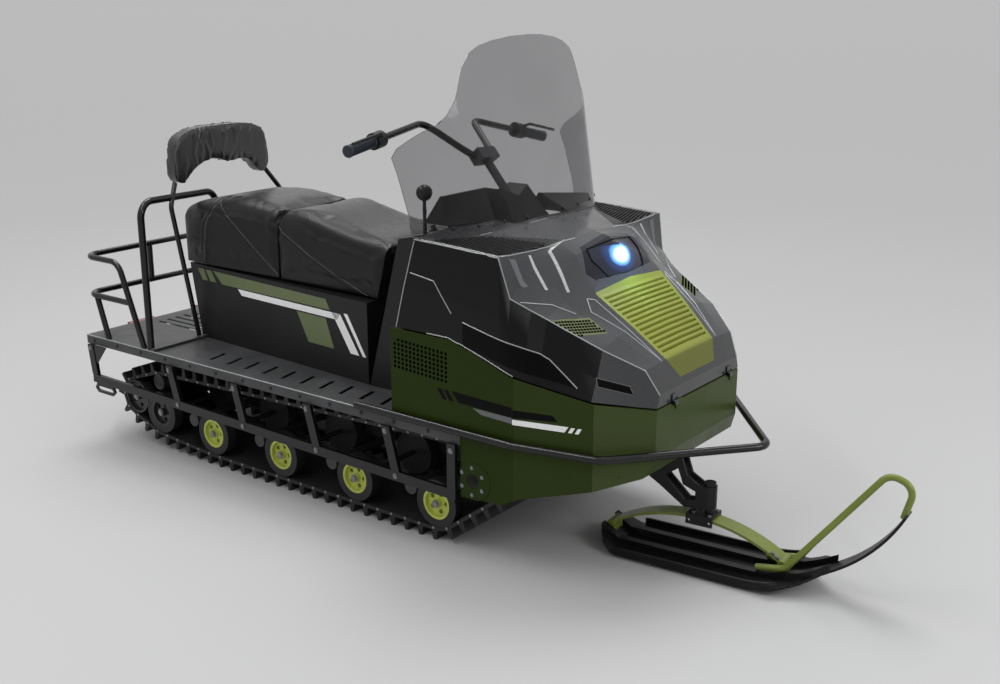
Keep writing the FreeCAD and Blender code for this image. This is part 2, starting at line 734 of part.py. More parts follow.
def make_bogies():
    """The right side's axles, arms and pivots, each axle with its plain inner roller."""
    row_outer, row_inner = wheel_rows()
    axle_end = row_outer[0]
    pieces = []
    beam_side = -BEAM_HALF_WIDTH
    for x, z in wheel_places()[:WHEEL_COUNT]:
        pivot_x = x - PIVOT_BACK
        pivot_z = z + PIVOT_RISE
        arm_y0 = row_outer[1] + WHEEL_INSET
        arm_y1 = arm_y0 + ARM_THICKNESS
        arm = flat_bar((x, z), (pivot_x, pivot_z), ARM_WIDTH, arm_y0, arm_y1)
        pieces.append(joined([arm,
                              rod_y(ARM_WIDTH / 2, x, z, arm_y0, arm_y1),
                              rod_y(AXLE_RADIUS, x, z, axle_end, row_inner[1]),
                              rod_y(WHEEL_RADIUS, x, z, row_inner[0], row_inner[1]),
                              rod_y(KNUCKLE_RADIUS, pivot_x, pivot_z, axle_end, arm_y1),
                              rod_y(PIVOT_RADIUS, pivot_x, pivot_z, arm_y1, beam_side)]))
    rear_x, rear_z = wheel_places()[WHEEL_COUNT]
    for x, z, radius in ((rear_x, rear_z, WHEEL_RADIUS), (IDLER_X, IDLER_Z, IDLER_RADIUS),
                         (REAR_WHEEL_X, TOP_ROLLER_Z, TOP_ROLLER_RADIUS)):
        pieces.append(joined([rod_y(AXLE_RADIUS, x, z, axle_end, beam_side),
                              rod_y(radius, x, z, row_inner[0], row_inner[1])]))
    return grouped(pieces)


def make_centre_beam():
    """The hollow beam between the tracks that hangs under the deck and carries the axles."""
    outline = [(BEAM_REAR_X, IDLER_Z + IDLER_RADIUS), (BEAM_REAR_X, IDLER_Z - IDLER_RADIUS / 2),
               (REAR_WHEEL_X, BEAM_LOW_Z), (BEAM_KNEE_X, BEAM_LOW_Z),
               (BEAM_FRONT_X, BEAM_FRONT_LOW_Z), (BEAM_FRONT_X, DECK_TOP_Z - DECK_SHEET),
               (IDLER_X, DECK_TOP_Z - DECK_SHEET)]
    beam = prism_y(outline, -BEAM_HALF_WIDTH, BEAM_HALF_WIDTH)
    core_half = BEAM_HALF_WIDTH - BEAM_WALL
    core = prism_y(outline, -core_half, core_half)
    low = box(BEAM_REAR_X - OVERRUN, BEAM_FRONT_X + OVERRUN, -core_half, core_half,
              -OVERRUN, DECK_TOP_Z - DECK_SHEET - BEAM_WALL)
    return beam.cut(core.common(low))


def make_drive_axle():
    """The front axle with its toothed drive wheels for both tracks."""
    pieces = [rod_y(PIVOT_RADIUS, SPROCKET_X, SPROCKET_Z, -TRACK_OUTER_Y, -BEAM_HALF_WIDTH)]
    for y0, y1 in wheel_rows():
        pieces.append(rod_y(SPROCKET_RADIUS - SPROCKET_TOOTH, SPROCKET_X, SPROCKET_Z, y0, y1))
        for number in range(SPROCKET_TEETH):
            turn = 2 * math.pi * number / SPROCKET_TEETH
            reach = SPROCKET_RADIUS - SPROCKET_TOOTH
            pieces.append(rod_y(SPROCKET_TOOTH, SPROCKET_X + reach * math.cos(turn),
                                SPROCKET_Z + reach * math.sin(turn), y0, y1))
    right = joined(pieces)
    return grouped([right, mirrored(right)])


# Rack, seat and backrest

def make_rack():
    """Two tube rings behind the seat, on side legs, rear posts and short struts."""
    y = RACK_HALF_WIDTH
    lower_x = between([(DECK_TOP_Z, RACK_FOOT_X), (RACK_TOP_Z, RACK_SIDE_X)], RACK_LOW_Z)
    upper = tube([Vector(RACK_FOOT_X, -y, DECK_TOP_Z), Vector(RACK_SIDE_X, -y, RACK_TOP_Z),
                  Vector(RACK_REAR_X, -y, RACK_TOP_Z), Vector(RACK_REAR_X, y, RACK_TOP_Z),
                  Vector(RACK_SIDE_X, y, RACK_TOP_Z), Vector(RACK_FOOT_X, y, DECK_TOP_Z)],
                 RACK_TUBE, RACK_BEND)
    lower = tube([Vector(lower_x, -y, RACK_LOW_Z), Vector(RACK_REAR_X, -y, RACK_LOW_Z),
                  Vector(RACK_REAR_X, y, RACK_LOW_Z), Vector(lower_x, y, RACK_LOW_Z)], RACK_TUBE, RACK_BEND)
    pieces = [upper, lower]
    for side in (-1, 1):
        pieces.append(rod_between(RACK_TUBE, Vector(RACK_REAR_X, side * RACK_STRUT_Y, RACK_LOW_Z),
                                  Vector(RACK_REAR_X, side * RACK_STRUT_Y, RACK_TOP_Z)))
        pieces.append(rod_between(RACK_TUBE, Vector(RACK_REAR_X + RACK_BEND, side * y, RACK_LOW_Z),
                                  Vector(RACK_REAR_X + RACK_BEND + RACK_POST_LEAN, side * y, DECK_TOP_Z)))
    rack = joined(pieces)
    return rack.cut(box(DECK_REAR_X - OVERRUN, DECK_FRONT_X, -y - OVERRUN, y + OVERRUN, 0, DECK_TOP_Z))


def make_handle_hoop(posts):
    """The passenger's handle: up from the right edge of the deck, in behind the seat and down again."""
    hoop = tube([Vector(HANDLE_HOOP_X, -RACK_HALF_WIDTH, DECK_TOP_Z),
                 Vector(HANDLE_HOOP_X, -RACK_HALF_WIDTH, HANDLE_HOOP_TOP_Z),
                 Vector(HANDLE_HOOP_INNER_X, 0, HANDLE_HOOP_INNER_Z),
                 Vector(HANDLE_HOOP_INNER_X, 0, DECK_TOP_Z)], HANDLE_HOOP_TUBE, HANDLE_HOOP_BEND)
    return hoop.cut(posts)


def make_seat_box():
    """The hollow box under the cushions, open to the deck."""
    rear_top = SEAT_BOX_REAR_X - SEAT_BOX_REAR_LEAN
    low = trapezium(SEAT_BOX_REAR_X, SEAT_BOX_FRONT_X, SEAT_BOX_REAR_HALF, SEAT_BOX_FRONT_HALF)
    high = trapezium(rear_top, SEAT_BOX_FRONT_X, SEAT_BOX_REAR_HALF, SEAT_BOX_FRONT_HALF)
    outer = slab(low, high, DECK_TOP_Z, SEAT_BOX_TOP_Z)
    wall = SEAT_BOX_SHEET
    low_in = trapezium(SEAT_BOX_REAR_X + wall, SEAT_BOX_FRONT_X - wall,
                       SEAT_BOX_REAR_HALF - wall, SEAT_BOX_FRONT_HALF - wall)
    high_in = trapezium(rear_top + wall, SEAT_BOX_FRONT_X - wall,
                        SEAT_BOX_REAR_HALF - wall, SEAT_BOX_FRONT_HALF - wall)
    return outer.cut(slab(low_in, high_in, DECK_TOP_Z, SEAT_BOX_TOP_Z - wall))


def rounded_section(x, half, z0, z1, corner):
    """A closed outline across the seat with rounded upper corners."""
    bow = corner * (1 - math.cos(math.pi / 4))
    low_right = Vector(x, -half, z0)
    side_right = Vector(x, -half, z1 - corner)
    top_right = Vector(x, -half + corner, z1)
    top_left = Vector(x, half - corner, z1)
    side_left = Vector(x, half, z1 - corner)
    low_left = Vector(x, half, z0)
    return Part.Wire([Part.makeLine(low_right, side_right),
                      Part.Arc(side_right, Vector(x, -half + bow, z1 - bow), top_right).toShape(),
                      Part.makeLine(top_right, top_left),
                      Part.Arc(top_left, Vector(x, half - bow, z1 - bow), side_left).toShape(),
                      Part.makeLine(side_left, low_left),
                      Part.makeLine(low_left, low_right)])


def cushion(x0, x1, rows):
    """A cushion lofted through rows of (share of length, share of height, share of width)."""
    low = SEAT_BOX_TOP_Z + SEAT_GAP
    sections = []
    for along_share, height_share, width_share in rows:
        x = x0 + (x1 - x0) * along_share
        top = low + (CUSHION_CREST_Z - low) * height_share
        half = CUSHION_HALF * width_share
        sections.append(rounded_section(x, half, low, top, CUSHION_CORNER * height_share))
    return Part.makeLoft(sections, True, False)


def make_seat_rear():
    """The passenger's cushion."""
    row_shares = ((0.0, 0.80, 0.93), (0.12, 0.877, 0.97), (0.44, 1.0, 1.0), (0.85, 0.985, 1.0),
                  (1.0, 0.933, 0.98))
    return cushion(CUSHION_REAR_X, CUSHION_SPLIT_X - SEAT_GAP, row_shares)


def make_seat_front():
    """The driver's cushion, which falls away to the console."""
    row_shares = ((0.0, 0.895, 0.98), (0.10, 0.963, 1.0), (0.30, 0.97, 1.0), (0.55, 0.877, 1.0),
                  (0.81, 0.783, 1.0), (1.0, 0.709, 1.04))
    return cushion(CUSHION_SPLIT_X + SEAT_GAP, CUSHION_FRONT_X, row_shares)


def make_backrest_pad():
    """The kidney-shaped pad on the two posts."""
    outline_shares = ((0.0, 0.27), (0.45, 0.25), (0.72, 0.08), (0.86, 0.0), (0.97, 0.08), (1.0, 0.45),
                      (0.92, 0.80), (0.68, 0.95), (0.0, 1.0))
    height = PAD_TOP_Z - PAD_LOW_Z
    right = [Vector(0, -PAD_HALF_WIDTH * y, PAD_LOW_Z + height * z) for y, z in outline_shares]
    left = [Vector(0, -point.y, point.z) for point in reversed(right[1:-1])]
    curve = Part.BSplineCurve()
    curve.interpolate(Points=right + left, PeriodicFlag=True)
    pad = Part.Face(Part.Wire(curve.toShape())).extrude(Vector(PAD_THICKNESS, 0, 0))
    pad.translate(Vector(PAD_X - PAD_THICKNESS / 2, 0, 0))
    return pad


def backrest_posts():
    """The two bent posts from the deck into the pad's place."""
    posts = []
    for side in (-1, 1):
        post = tube([Vector(BACK_POST_FOOT_X, side * BACK_POST_FOOT_Y, DECK_TOP_Z),
                     Vector(BACK_POST_KINK_X, side * BACK_POST_KINK_Y, BACK_POST_KINK_Z),
                     Vector(PAD_X, side * BACK_POST_TOP_Y, PAD_LOW_Z + OVERRUN)],
                    BACK_POST_TUBE, BACK_POST_BEND)
        below = box(BACK_POST_KINK_X - OVERRUN, BACK_POST_FOOT_X + OVERRUN, -DECK_HALF_WIDTH, DECK_HALF_WIDTH,
                    0, DECK_TOP_Z)
        posts.append(post.cut(below))
    return posts


def make_backrest_posts():
    """The posts, ended where they meet the pad."""
    return grouped([post.cut(make_backrest_pad()) for post in backrest_posts()])


# Nose pan and hood

def nose_half_width(x):
    """The half width of the nose in plan."""
    return between([(NOSE_REAR_X, NOSE_HALF_WIDTH), (NOSE_SHOULDER_X, NOSE_HALF_WIDTH),
                    (NOSE_CHEEK_X, NOSE_CHEEK_HALF), (NOSE_FRONT_X, NOSE_FRONT_HALF)], x)


def nose_plan(inset):
    """The plan outline of the nose, drawn in by an inset."""
    xs = [NOSE_REAR_X - OVERRUN, NOSE_SHOULDER_X, NOSE_CHEEK_X]
    right = [(x, -(nose_half_width(max(x, NOSE_REAR_X)) - inset)) for x in xs]
    right.append((NOSE_FRONT_X - inset, -(NOSE_FRONT_HALF - inset)))
    return right + [(x, -y) for x, y in reversed(right)]


def pan_top():
    """The (x, z) points of the pan's upper edge from the rear to the front."""
    length = NOSE_FRONT_X - NOSE_REAR_X
    drop = PAN_TOP_Z - PAN_TIP_Z
    edge_shares = ((0.0, 1.0), (0.275, 1.0), (0.386, 0.82), (0.539, 0.50), (0.838, 0.19), (1.0, 0.0))
    return [(NOSE_REAR_X + length * x, PAN_TIP_Z + drop * z) for x, z in edge_shares]


def pan_bottom():
    """The (x, z) points of the pan's lower edge from the crease on the front to the rear."""
    rise = PAN_FRONT_LOW_Z - PAN_LOW_Z
    length = NOSE_FRONT_X - PAN_LOW_REAR_X
    edge_shares = ((0.79, 0.79), (0.37, 0.30), (0.28, 0.09), (0.0, 0.0))
    front = [(NOSE_FRONT_X, PAN_CREASE_Z), (NOSE_FRONT_X - PAN_DRAW_BACK, PAN_FRONT_LOW_Z)]
    return front + [(PAN_LOW_REAR_X + length * x, PAN_LOW_Z + rise * z) for x, z in edge_shares]


def make_nose_pan():
    """The hollow lower nose, with a skirt outside each drive wheel."""
    outline = pan_top() + pan_bottom() + [(PAN_LOW_REAR_X, DECK_TOP_Z), (NOSE_REAR_X, DECK_TOP_Z)]
    low = PAN_LOW_Z - OVERRUN
    high = PAN_TOP_Z + OVERRUN
    reach = NOSE_HALF_WIDTH + OVERRUN
    pan = prism_z(nose_plan(0), low, high).common(prism_y(outline, -reach, reach))
    inner = prism_z(nose_plan(PAN_SHEET), low, high)
    floor = DECK_TOP_Z + PAN_SHEET
    behind = box(NOSE_REAR_X - 2 * OVERRUN, PAN_STEP_X + PAN_SHEET, -reach, reach, floor, high)
    front_floor = [(x - PAN_SHEET, z + PAN_SHEET) for x, z in pan_bottom()[:4]]
    step_z = between(list(reversed(front_floor)), PAN_STEP_X + PAN_SHEET)
    ahead_outline = front_floor[:3] + [(PAN_STEP_X + PAN_SHEET, step_z), (PAN_STEP_X + PAN_SHEET, high),
                                       (NOSE_FRONT_X - PAN_SHEET, high)]
    ahead = prism_y(ahead_outline, -reach, reach)
    pan = pan.cut(inner.common(behind)).cut(inner.common(ahead))
    under = box(NOSE_REAR_X, PAN_STEP_X, -(NOSE_HALF_WIDTH - PAN_SHEET), NOSE_HALF_WIDTH - PAN_SHEET,
                low, DECK_TOP_Z)
    pan = pan.cut(under)
    for side in (-1, 1):
        y0 = side * NOSE_HALF_WIDTH
        ring = rod_y(PAN_BOSS_RADIUS, SPROCKET_X + PAN_SHEET, SPROCKET_Z, min(y0, y0 + side * PAN_BOSS_DEPTH),
                     max(y0, y0 + side * PAN_BOSS_DEPTH))
        ring = ring.common(prism_y(outline, -reach, reach))
        pin_y = side * HINGE_Y
        hinge_x, hinge_z = hinge_line()
        pin = rod_y(HINGE_PIN, hinge_x, hinge_z, pin_y - HINGE_STANDOFF,
                    pin_y + 2 * HINGE_LENGTH + HINGE_STANDOFF)
        pan = joined([pan, ring, hinge_half(side, False), pin])
    return pan.cut(rod_y(PAN_HOLE_RADIUS, SPROCKET_X, SPROCKET_Z, -reach, reach))


def hood_rows():
    """The rows across the hood: x, then (half width, height) from the lower edge to the middle line."""
    length = NOSE_FRONT_X - NOSE_REAR_X
    height = HOOD_TOP_Z - PAN_TIP_Z
    row_shares = (
        (0.0, (1.018, 0.62), (1.023, 0.971), (0.69, 1.0), (0.345, 1.0), (0.0, 1.0)),
        (0.275, (1.022, 0.62), (1.028, 0.95), (0.69, 0.976), (0.345, 1.0), (0.0, 1.006)),
        (0.509, (1.02, 0.53), (1.032, 0.925), (0.69, 0.923), (0.345, 0.94), (0.0, 0.967)),
        (0.541, (1.005, 0.42), (0.986, 0.667), (0.69, 0.84), (0.42, 0.928), (0.0, 0.957)),
        (0.604, (0.965, 0.37), (0.913, 0.592), (0.68, 0.70), (0.40, 0.865), (0.0, 0.93)),
        (0.652, (0.922, 0.33), (0.874, 0.546), (0.66, 0.616), (0.41, 0.74), (0.0, 0.885)),
        (0.709, (0.89, 0.30), (0.842, 0.496), (0.642, 0.54), (0.433, 0.627), (0.0, 0.633)),
        (0.838, (0.817, 0.21), (0.757, 0.379), (0.573, 0.428), (0.383, 0.445), (0.0, 0.45)),
        (0.956, (0.63, 0.13), (0.596, 0.25), (0.459, 0.257), (0.33, 0.261), (0.0, 0.265)),
        (1.0, (0.56, 0.055), (0.546, 0.094), (0.39, 0.099), (0.239, 0.099), (0.0, 0.099)))
    rows = []
    for row in row_shares:
        x = NOSE_REAR_X + length * row[0]
        foot = (nose_half_width(x), between(pan_top(), x) + PANEL_GAP)
        rows.append((x, [foot] + [(NOSE_HALF_WIDTH * y, PAN_TIP_Z + height * z) for y, z in row[1:]]))
    return rows


def hood_block(wall):
    """The hood's outer form, or with a wall the hollow that goes inside it."""
    sections = []
    for x, places in hood_rows():
        drawn = []
        for number, (y, z) in enumerate(places):
            low = z - 2 * OVERRUN if wall and number == 0 else z - wall
            drawn.append((max(y - wall, 0), low))
        right = [Vector(x - wall, -y, z) for y, z in drawn]
        left = [Vector(x - wall, y, z) for y, z in reversed(drawn[:-1])]
        sections.append(Part.makePolygon(right + left + right[:1]))
    return Part.makeLoft(sections, True, True)


def hood_skin():
    """The whole hood skin before its openings are cut."""
    skin = hood_block(0).cut(hood_block(HOOD_SHEET))
    reach = NOSE_HALF_WIDTH + OVERRUN
    top = HOOD_TOP_Z + OVERRUN
    rear = prism_y([(NOSE_REAR_X - OVERRUN, PAN_TIP_Z), (rear_edge(PAN_TIP_Z), PAN_TIP_Z),
                    (rear_edge(top), top), (NOSE_REAR_X - OVERRUN, top)], -reach, reach)
    slot = box(NOSE_REAR_X - OVERRUN, HOOD_SLOT_X, -HOOD_SLOT_HALF, HOOD_SLOT_HALF, HOOD_OPENING_Z, top)
    return skin.cut(rear).cut(slot)


def rear_edge(z):
    """The hood's slanted rear edge."""
    return NOSE_REAR_X + REAR_EDGE_SETBACK + (z - PAN_TOP_Z) * HOOD_REAR_SLOPE


def lamp_tool(grow):
    """The region of the hood's front that the headlamp fills."""
    half = LAMP_HALF_WIDTH + grow
    outline_shares = ((-0.92, 1.0), (0.92, 1.0), (1.0, 0.6), (0.78, 0.0), (-0.78, 0.0), (-1.0, 0.6))
    low = LAMP_LOW_Z - grow
    height = LAMP_TOP_Z + grow - low
    return prism_x([(half * y, low + height * z) for y, z in outline_shares], HOOD_SLOT_X, LAMP_FRONT_X)


def grille_tool(grow):
    """The region of the hood's front that the grille fills."""
    rear = (GRILLE_REAR_X - grow, GRILLE_REAR_HALF + grow)
    front = (GRILLE_FRONT_X, GRILLE_FRONT_HALF + grow)
    tip = (GRILLE_TIP_X + grow, GRILLE_TIP_HALF + grow)
    right = [(x, -y) for x, y in (rear, front, tip)]
    left = [(x, y) for x, y in (tip, front, rear)]
    return prism_z(right + left, PAN_TIP_Z, HOOD_TOP_Z)


def vent_tool(side, grow):
    """The four-sided region of a mesh vent beside the grille."""
    corner_shares = ((-1.0, 1.0), (-0.08, -0.85), (1.0, -0.85), (0.22, 0.68))
    half_x = VENT_HALF_X + grow
    half_y = VENT_HALF_Y + grow
    outline = [(VENT_CENTRE_X + half_x * x, side * (VENT_CENTRE_Y + half_y * y)) for x, y in corner_shares]
    return prism_z(outline, PAN_TIP_Z, HOOD_TOP_Z)


def hinge_line():
    """The (x, z) place of the hood's hinge pins, ahead of the nose and level with the gap."""
    return NOSE_FRONT_X + HINGE_STANDOFF + HINGE_KNUCKLE, PAN_TIP_Z + PANEL_GAP / 2


def hinge_half(side, upper):
    """The hood's or the pan's half of one hinge: a leaf on the skin and a knuckle round the pin."""
    x, z = hinge_line()
    y0 = side * HINGE_Y + (0 if upper else HINGE_LENGTH + HINGE_STANDOFF)
    y1 = y0 + HINGE_LENGTH
    knuckle = rod_y(HINGE_KNUCKLE, x, z, y0, y1)
    way = 1 if upper else -1
    near = z + way * PANEL_GAP / 2
    far = z + way * HINGE_LEAF_HEIGHT
    leaf = box(NOSE_FRONT_X, NOSE_FRONT_X + HINGE_LEAF, y0, y1, min(near, far), max(near, far))
    return joined([knuckle, leaf])


def make_hood(skin):
    """The hood with its hinge halves and its holes for the lamp, the grille and the vents."""
    hood = skin.cut(lamp_tool(SEAT_GAP)).cut(grille_tool(SEAT_GAP))
    for side in (-1, 1):
        hood = hood.cut(vent_tool(side, SEAT_GAP))
    hood = joined([hood] + [hinge_half(side, True) for side in (-1, 1)])
    x, z = hinge_line()
    return hood.cut(rod_y(HINGE_PIN + HINGE_BORE_GAP, x, z, -NOSE_FRONT_HALF, NOSE_FRONT_HALF))


def make_grille(skin):
    """The slatted grille that fills its hole in the hood."""
    grille = skin.common(grille_tool(0))
    span = GRILLE_FRONT_X - GRILLE_REAR_X - 2 * GRILLE_BORDER
    side = [(GRILLE_REAR_X, GRILLE_REAR_HALF), (GRILLE_FRONT_X, GRILLE_FRONT_HALF)]
    for number in range(GRILLE_SLOT_COUNT):
        x = GRILLE_REAR_X + GRILLE_BORDER + span * (number + 0.5) / GRILLE_SLOT_COUNT
        half = between(side, x) - GRILLE_BORDER
        grille = grille.cut(box(x - GRILLE_SLOT / 2, x + GRILLE_SLOT / 2, -half, half, PAN_TIP_Z, HOOD_TOP_Z))
    return grille


def make_vents(skin):
    """The two mesh vents, as sheets."""
    return grouped([skin.common(vent_tool(side, 0)) for side in (-1, 1)])


# Cowl and windscreen

def lobe(side, forward, outer, ridge_z, outer_z):
    """A wedge on the hood beside the instruments, with a ridge that runs outward."""
    def outline(places, z_inner, z_outer):
        heights = (z_inner, z_inner, z_outer, z_outer)
        return Part.makePolygon([Vector(x + forward, side * y, z)
                                 for (x, y), z in zip(places + places[:1], heights + heights[:1])])

    inner = LOBE_INNER_Y - LOBE_LEAN_IN
    ridge_front = LOBE_RIDGE_X + LOBE_RIDGE
    foot_front = ridge_front + LOBE_RIDGE
    low = outline([(LOBE_REAR_X, LOBE_INNER_Y), (LOBE_FRONT_X, LOBE_INNER_Y), (foot_front, outer),
                   (LOBE_REAR_X, outer)], HOOD_TOP_Z, HOOD_TOP_Z)
    high = outline([(LOBE_RIDGE_X, inner), (ridge_front, inner), (ridge_front, outer), (LOBE_RIDGE_X, outer)],
                   ridge_z, outer_z)
    return Part.makeLoft([low, high], True, True)


def make_cowl(hood_form):
    """The two lobes inside the windscreen, seated on the hood."""
    right = lobe(-1, 0, LOBE_OUTER_Y, LOBE_TOP_Z, LOBE_TOP_Z)
    left = lobe(1, LEFT_LOBE_FORWARD, LEFT_LOBE_OUTER_Y, LEFT_LOBE_TOP_Z, LEFT_LOBE_OUTER_Z)
    return grouped([right.cut(hood_form), left.cut(hood_form)])


def screen_plan(inset):
    """The plan curve of the screen as edges on its base plane, from right to left."""
    big = SCREEN_FRONT_RADIUS - inset
    small = SCREEN_CORNER_RADIUS - inset
    turn = math.radians(SCREEN_CORNER_TURN)
    middle_x = SCREEN_BASE_X - SCREEN_FRONT_RADIUS
    corner_y = SCREEN_HALF_WIDTH - SCREEN_CORNER_RADIUS * math.sin(turn)
    start = math.asin(corner_y / (SCREEN_FRONT_RADIUS - SCREEN_CORNER_RADIUS))
    corner_x = middle_x + (SCREEN_FRONT_RADIUS - SCREEN_CORNER_RADIUS) * math.cos(start)

    def big_at(angle):
        return Vector(middle_x + big * math.cos(angle), big * math.sin(angle), SCREEN_BASE_Z)

    def small_at(angle):
        return Vector(corner_x + small * math.cos(angle), corner_y + small * math.sin(angle), SCREEN_BASE_Z)

    wing = small_at(turn) + Vector(-math.sin(turn), math.cos(turn), 0) * SCREEN_WING
    left = [Part.Arc(big_at(0), big_at(start / 2), big_at(start)).toShape(),
            Part.Arc(small_at(start), small_at((start + turn) / 2), small_at(turn)).toShape(),
            Part.makeLine(small_at(turn), wing)]
    right = [mirrored(edge) for edge in left]
    return right + left, wing


def screen_outline():
    """The screen's front outline as (y, z) pairs: tall in the middle, stepped down to the wings."""
    height = SCREEN_TOP_Z - SCREEN_BASE_Z
    side_shares = ((1.1, 0.0), (1.1, 0.55), (0.90, 0.57), (0.83, 0.62), (0.755, 0.70), (0.70, 0.80),
                   (0.665, 0.86), (0.61, 0.915), (0.50, 0.955), (0.36, 0.98), (0.18, 0.996), (0.0, 1.0))
    left = [(SCREEN_HALF_WIDTH * y, SCREEN_BASE_Z + height * z) for y, z in side_shares]
    return left + [(-y, z) for y, z in reversed(left[:-1])]


def screen_rear_cut():
    """The space behind the straight rear edges of the two wings."""
    reach = SCREEN_BASE_X - SCREEN_REAR_X
    height = SCREEN_TOP_Z - SCREEN_BASE_Z
    edge_shares = ((0.45, 1.07), (0.45, 0.56), (0.07, 0.45), (0.0, 0.40), (0.085, 0.31), (0.23, 0.11),
                   (0.28, -0.05))
    edge = [(SCREEN_REAR_X + reach * x, SCREEN_BASE_Z + height * z) for x, z in edge_shares]
    far = SCREEN_REAR_X - reach
    side = NOSE_HALF_WIDTH + OVERRUN
    return prism_y(edge + [(far, edge[-1][1]), (far, edge[0][1])], -side, side)


def make_windscreen(hood_form):
    """The bent clear sheet, trimmed to its outline and seated on the hood."""
    outer_edges, outer_end = screen_plan(0)
    inner_edges, inner_end = screen_plan(SCREEN_SHEET)
    caps = [Part.makeLine(outer_end, inner_end), Part.makeLine(Vector(outer_end.x, -outer_end.y, outer_end.z),
                                                             Vector(inner_end.x, -inner_end.y, inner_end.z))]
    wire = Part.Wire(Part.__sortEdges__(outer_edges + inner_edges + caps))
    height = SCREEN_TOP_Z - SCREEN_BASE_Z
    sheet = Part.Face(wire).extrude(Vector(-SCREEN_LEAN, 0, height))
    sheet = sheet.common(prism_x(screen_outline(), -SCREEN_BASE_X, SCREEN_BASE_X * 2))
    return sheet.cut(screen_rear_cut()).cut(hood_form)


# Bumper, console and engine

def make_bumper():
    """The tube that runs from the footboards round the nose to a point."""
    right = [Vector(BUMPER_REAR_X, -BUMPER_Y, BUMPER_Z), Vector(BUMPER_SHOULDER_X, -BUMPER_Y, BUMPER_Z),
             Vector(BUMPER_CHEEK_X, -BUMPER_CHEEK_Y, BUMPER_Z), Vector(BUMPER_TIP_X, 0, BUMPER_Z)]
    left = [Vector(p.x, -p.y, p.z) for p in reversed(right[:-1])]
    return tube(right + left, BUMPER_TUBE, BUMPER_BEND)


def make_console():
    """The console ahead of the seat, with panels before the rider's knees and a shelf for the pod."""
    foot = DECK_TOP_Z + PAN_SHEET
    lean = (CONSOLE_TOP_Z - PAN_TOP_Z) * HOOD_REAR_SLOPE
    rear_line = [(CONSOLE_FRONT_X, foot), (KNEE_PANEL_X, PAN_TOP_Z), (KNEE_PANEL_X + lean, CONSOLE_TOP_Z)]
    front_line = [(x + KNEE_PANEL_SHEET, z) for x, z in rear_line]
    outline = [(CONSOLE_REAR_X, DECK_TOP_Z), (CONSOLE_TOP_X, CONSOLE_TOP_Z), (POD_REAR_X, CONSOLE_CREST_Z),
               (front_line[-1][0], CONSOLE_CREST_Z)]
    outline += list(reversed(front_line)) + [(NOSE_REAR_X, foot), (NOSE_REAR_X, DECK_TOP_Z)]
    body = prism_y(outline, -CONSOLE_HALF_WIDTH, CONSOLE_HALF_WIDTH)
    panels = prism_y(rear_line + list(reversed(front_line)), -KNEE_PANEL_HALF, KNEE_PANEL_HALF)
    shelf = box(KNEE_PANEL_X, POD_FRONT_X, -POD_HALF_WIDTH, POD_HALF_WIDTH,
                CONSOLE_CREST_Z - CONSOLE_SHELF, CONSOLE_CREST_Z)
    return joined([body, panels, shelf])


def column_axis():
    """The steering column's direction, upward and back."""
    tilt = math.radians(COLUMN_TILT)
    return Vector(-math.sin(tilt), 0, math.cos(tilt))


def make_pod():
    """The faceted instrument pod, bored for the steering column."""
    low = trapezium(POD_REAR_X, POD_FRONT_X, POD_HALF_WIDTH, POD_HALF_WIDTH)
    high = trapezium(POD_TOP_REAR_X, POD_TOP_FRONT_X, POD_TOP_HALF, POD_TOP_HALF)
    valley = prism_x([(-POD_TOP_HALF, POD_TOP_Z + SEAT_GAP), (0, POD_TOP_Z - POD_VALLEY),
                      (POD_TOP_HALF, POD_TOP_Z + SEAT_GAP)], POD_REAR_X, POD_FRONT_X)
    pod = slab(low, high, CONSOLE_CREST_Z, POD_TOP_Z).cut(valley)
    foot = Vector(CLAMP_X, 0, CLAMP_Z) - column_axis() * (COLUMN_LENGTH + COLUMN_CLEARANCE)
    bore = Part.makeCylinder(COLUMN_RADIUS + COLUMN_CLEARANCE, COLUMN_LENGTH, foot, column_axis())
    return pod.cut(bore)


def make_gear_lever():
    """The gear lever with its ball."""
    foot = Vector(LEVER_X, -LEVER_Y, CONSOLE_TOP_Z)
    top = Vector(LEVER_X, -LEVER_Y, CONSOLE_CREST_Z + LEVER_HEIGHT)
    stem = rod_between(LEVER_STEM, foot, top)
    lever = joined([stem, Part.makeSphere(LEVER_KNOB, top)])
    return lever.cut(make_console())


def make_engine():
    """The engine as a plain block on the pan's floor."""
    floor = DECK_TOP_Z + PAN_SHEET
    half = ENGINE_HALF_WIDTH
    return box(ENGINE_REAR_X, ENGINE_FRONT_X, -half, half, floor, floor + ENGINE_HEIGHT)


def make_rear_lamps():
    """The two lamps on the rear beam of the deck."""
    low = DECK_TOP_Z - RAIL_HEIGHT
    right = box(DECK_REAR_X - REAR_LAMP_DEPTH, DECK_REAR_X, -REAR_LAMP_OUTER_Y, -REAR_LAMP_INNER_Y,
                low, DECK_TOP_Z)
    return grouped([right, mirrored(right)])


def make_hitch():
    """The towing plate under the rear beam, with its pin hole behind the deck."""
    low = DECK_TOP_Z - RAIL_HEIGHT
    rear = DECK_REAR_X - HITCH_REACH
    plate = prism_z([(BEAM_REAR_X, -HITCH_HALF), (DECK_REAR_X, -HITCH_TIP_HALF * 2), (rear, -HITCH_TIP_HALF),
                     (rear, HITCH_TIP_HALF), (DECK_REAR_X, HITCH_TIP_HALF * 2), (BEAM_REAR_X, HITCH_HALF)],
                    low - HITCH_PLATE, low)
    hole_x = rear + HITCH_HOLE * 2
    foot = Vector(hole_x, 0, low - OVERRUN)
    return plate.cut(Part.makeCylinder(HITCH_HOLE, 2 * OVERRUN, foot))


# Handlebar

def turned_bar(shape):
    """A handlebar piece turned to its place at rest."""
    shape.rotate(Vector(CLAMP_X, 0, CLAMP_Z), column_axis(), STEER_REST)
    return shape


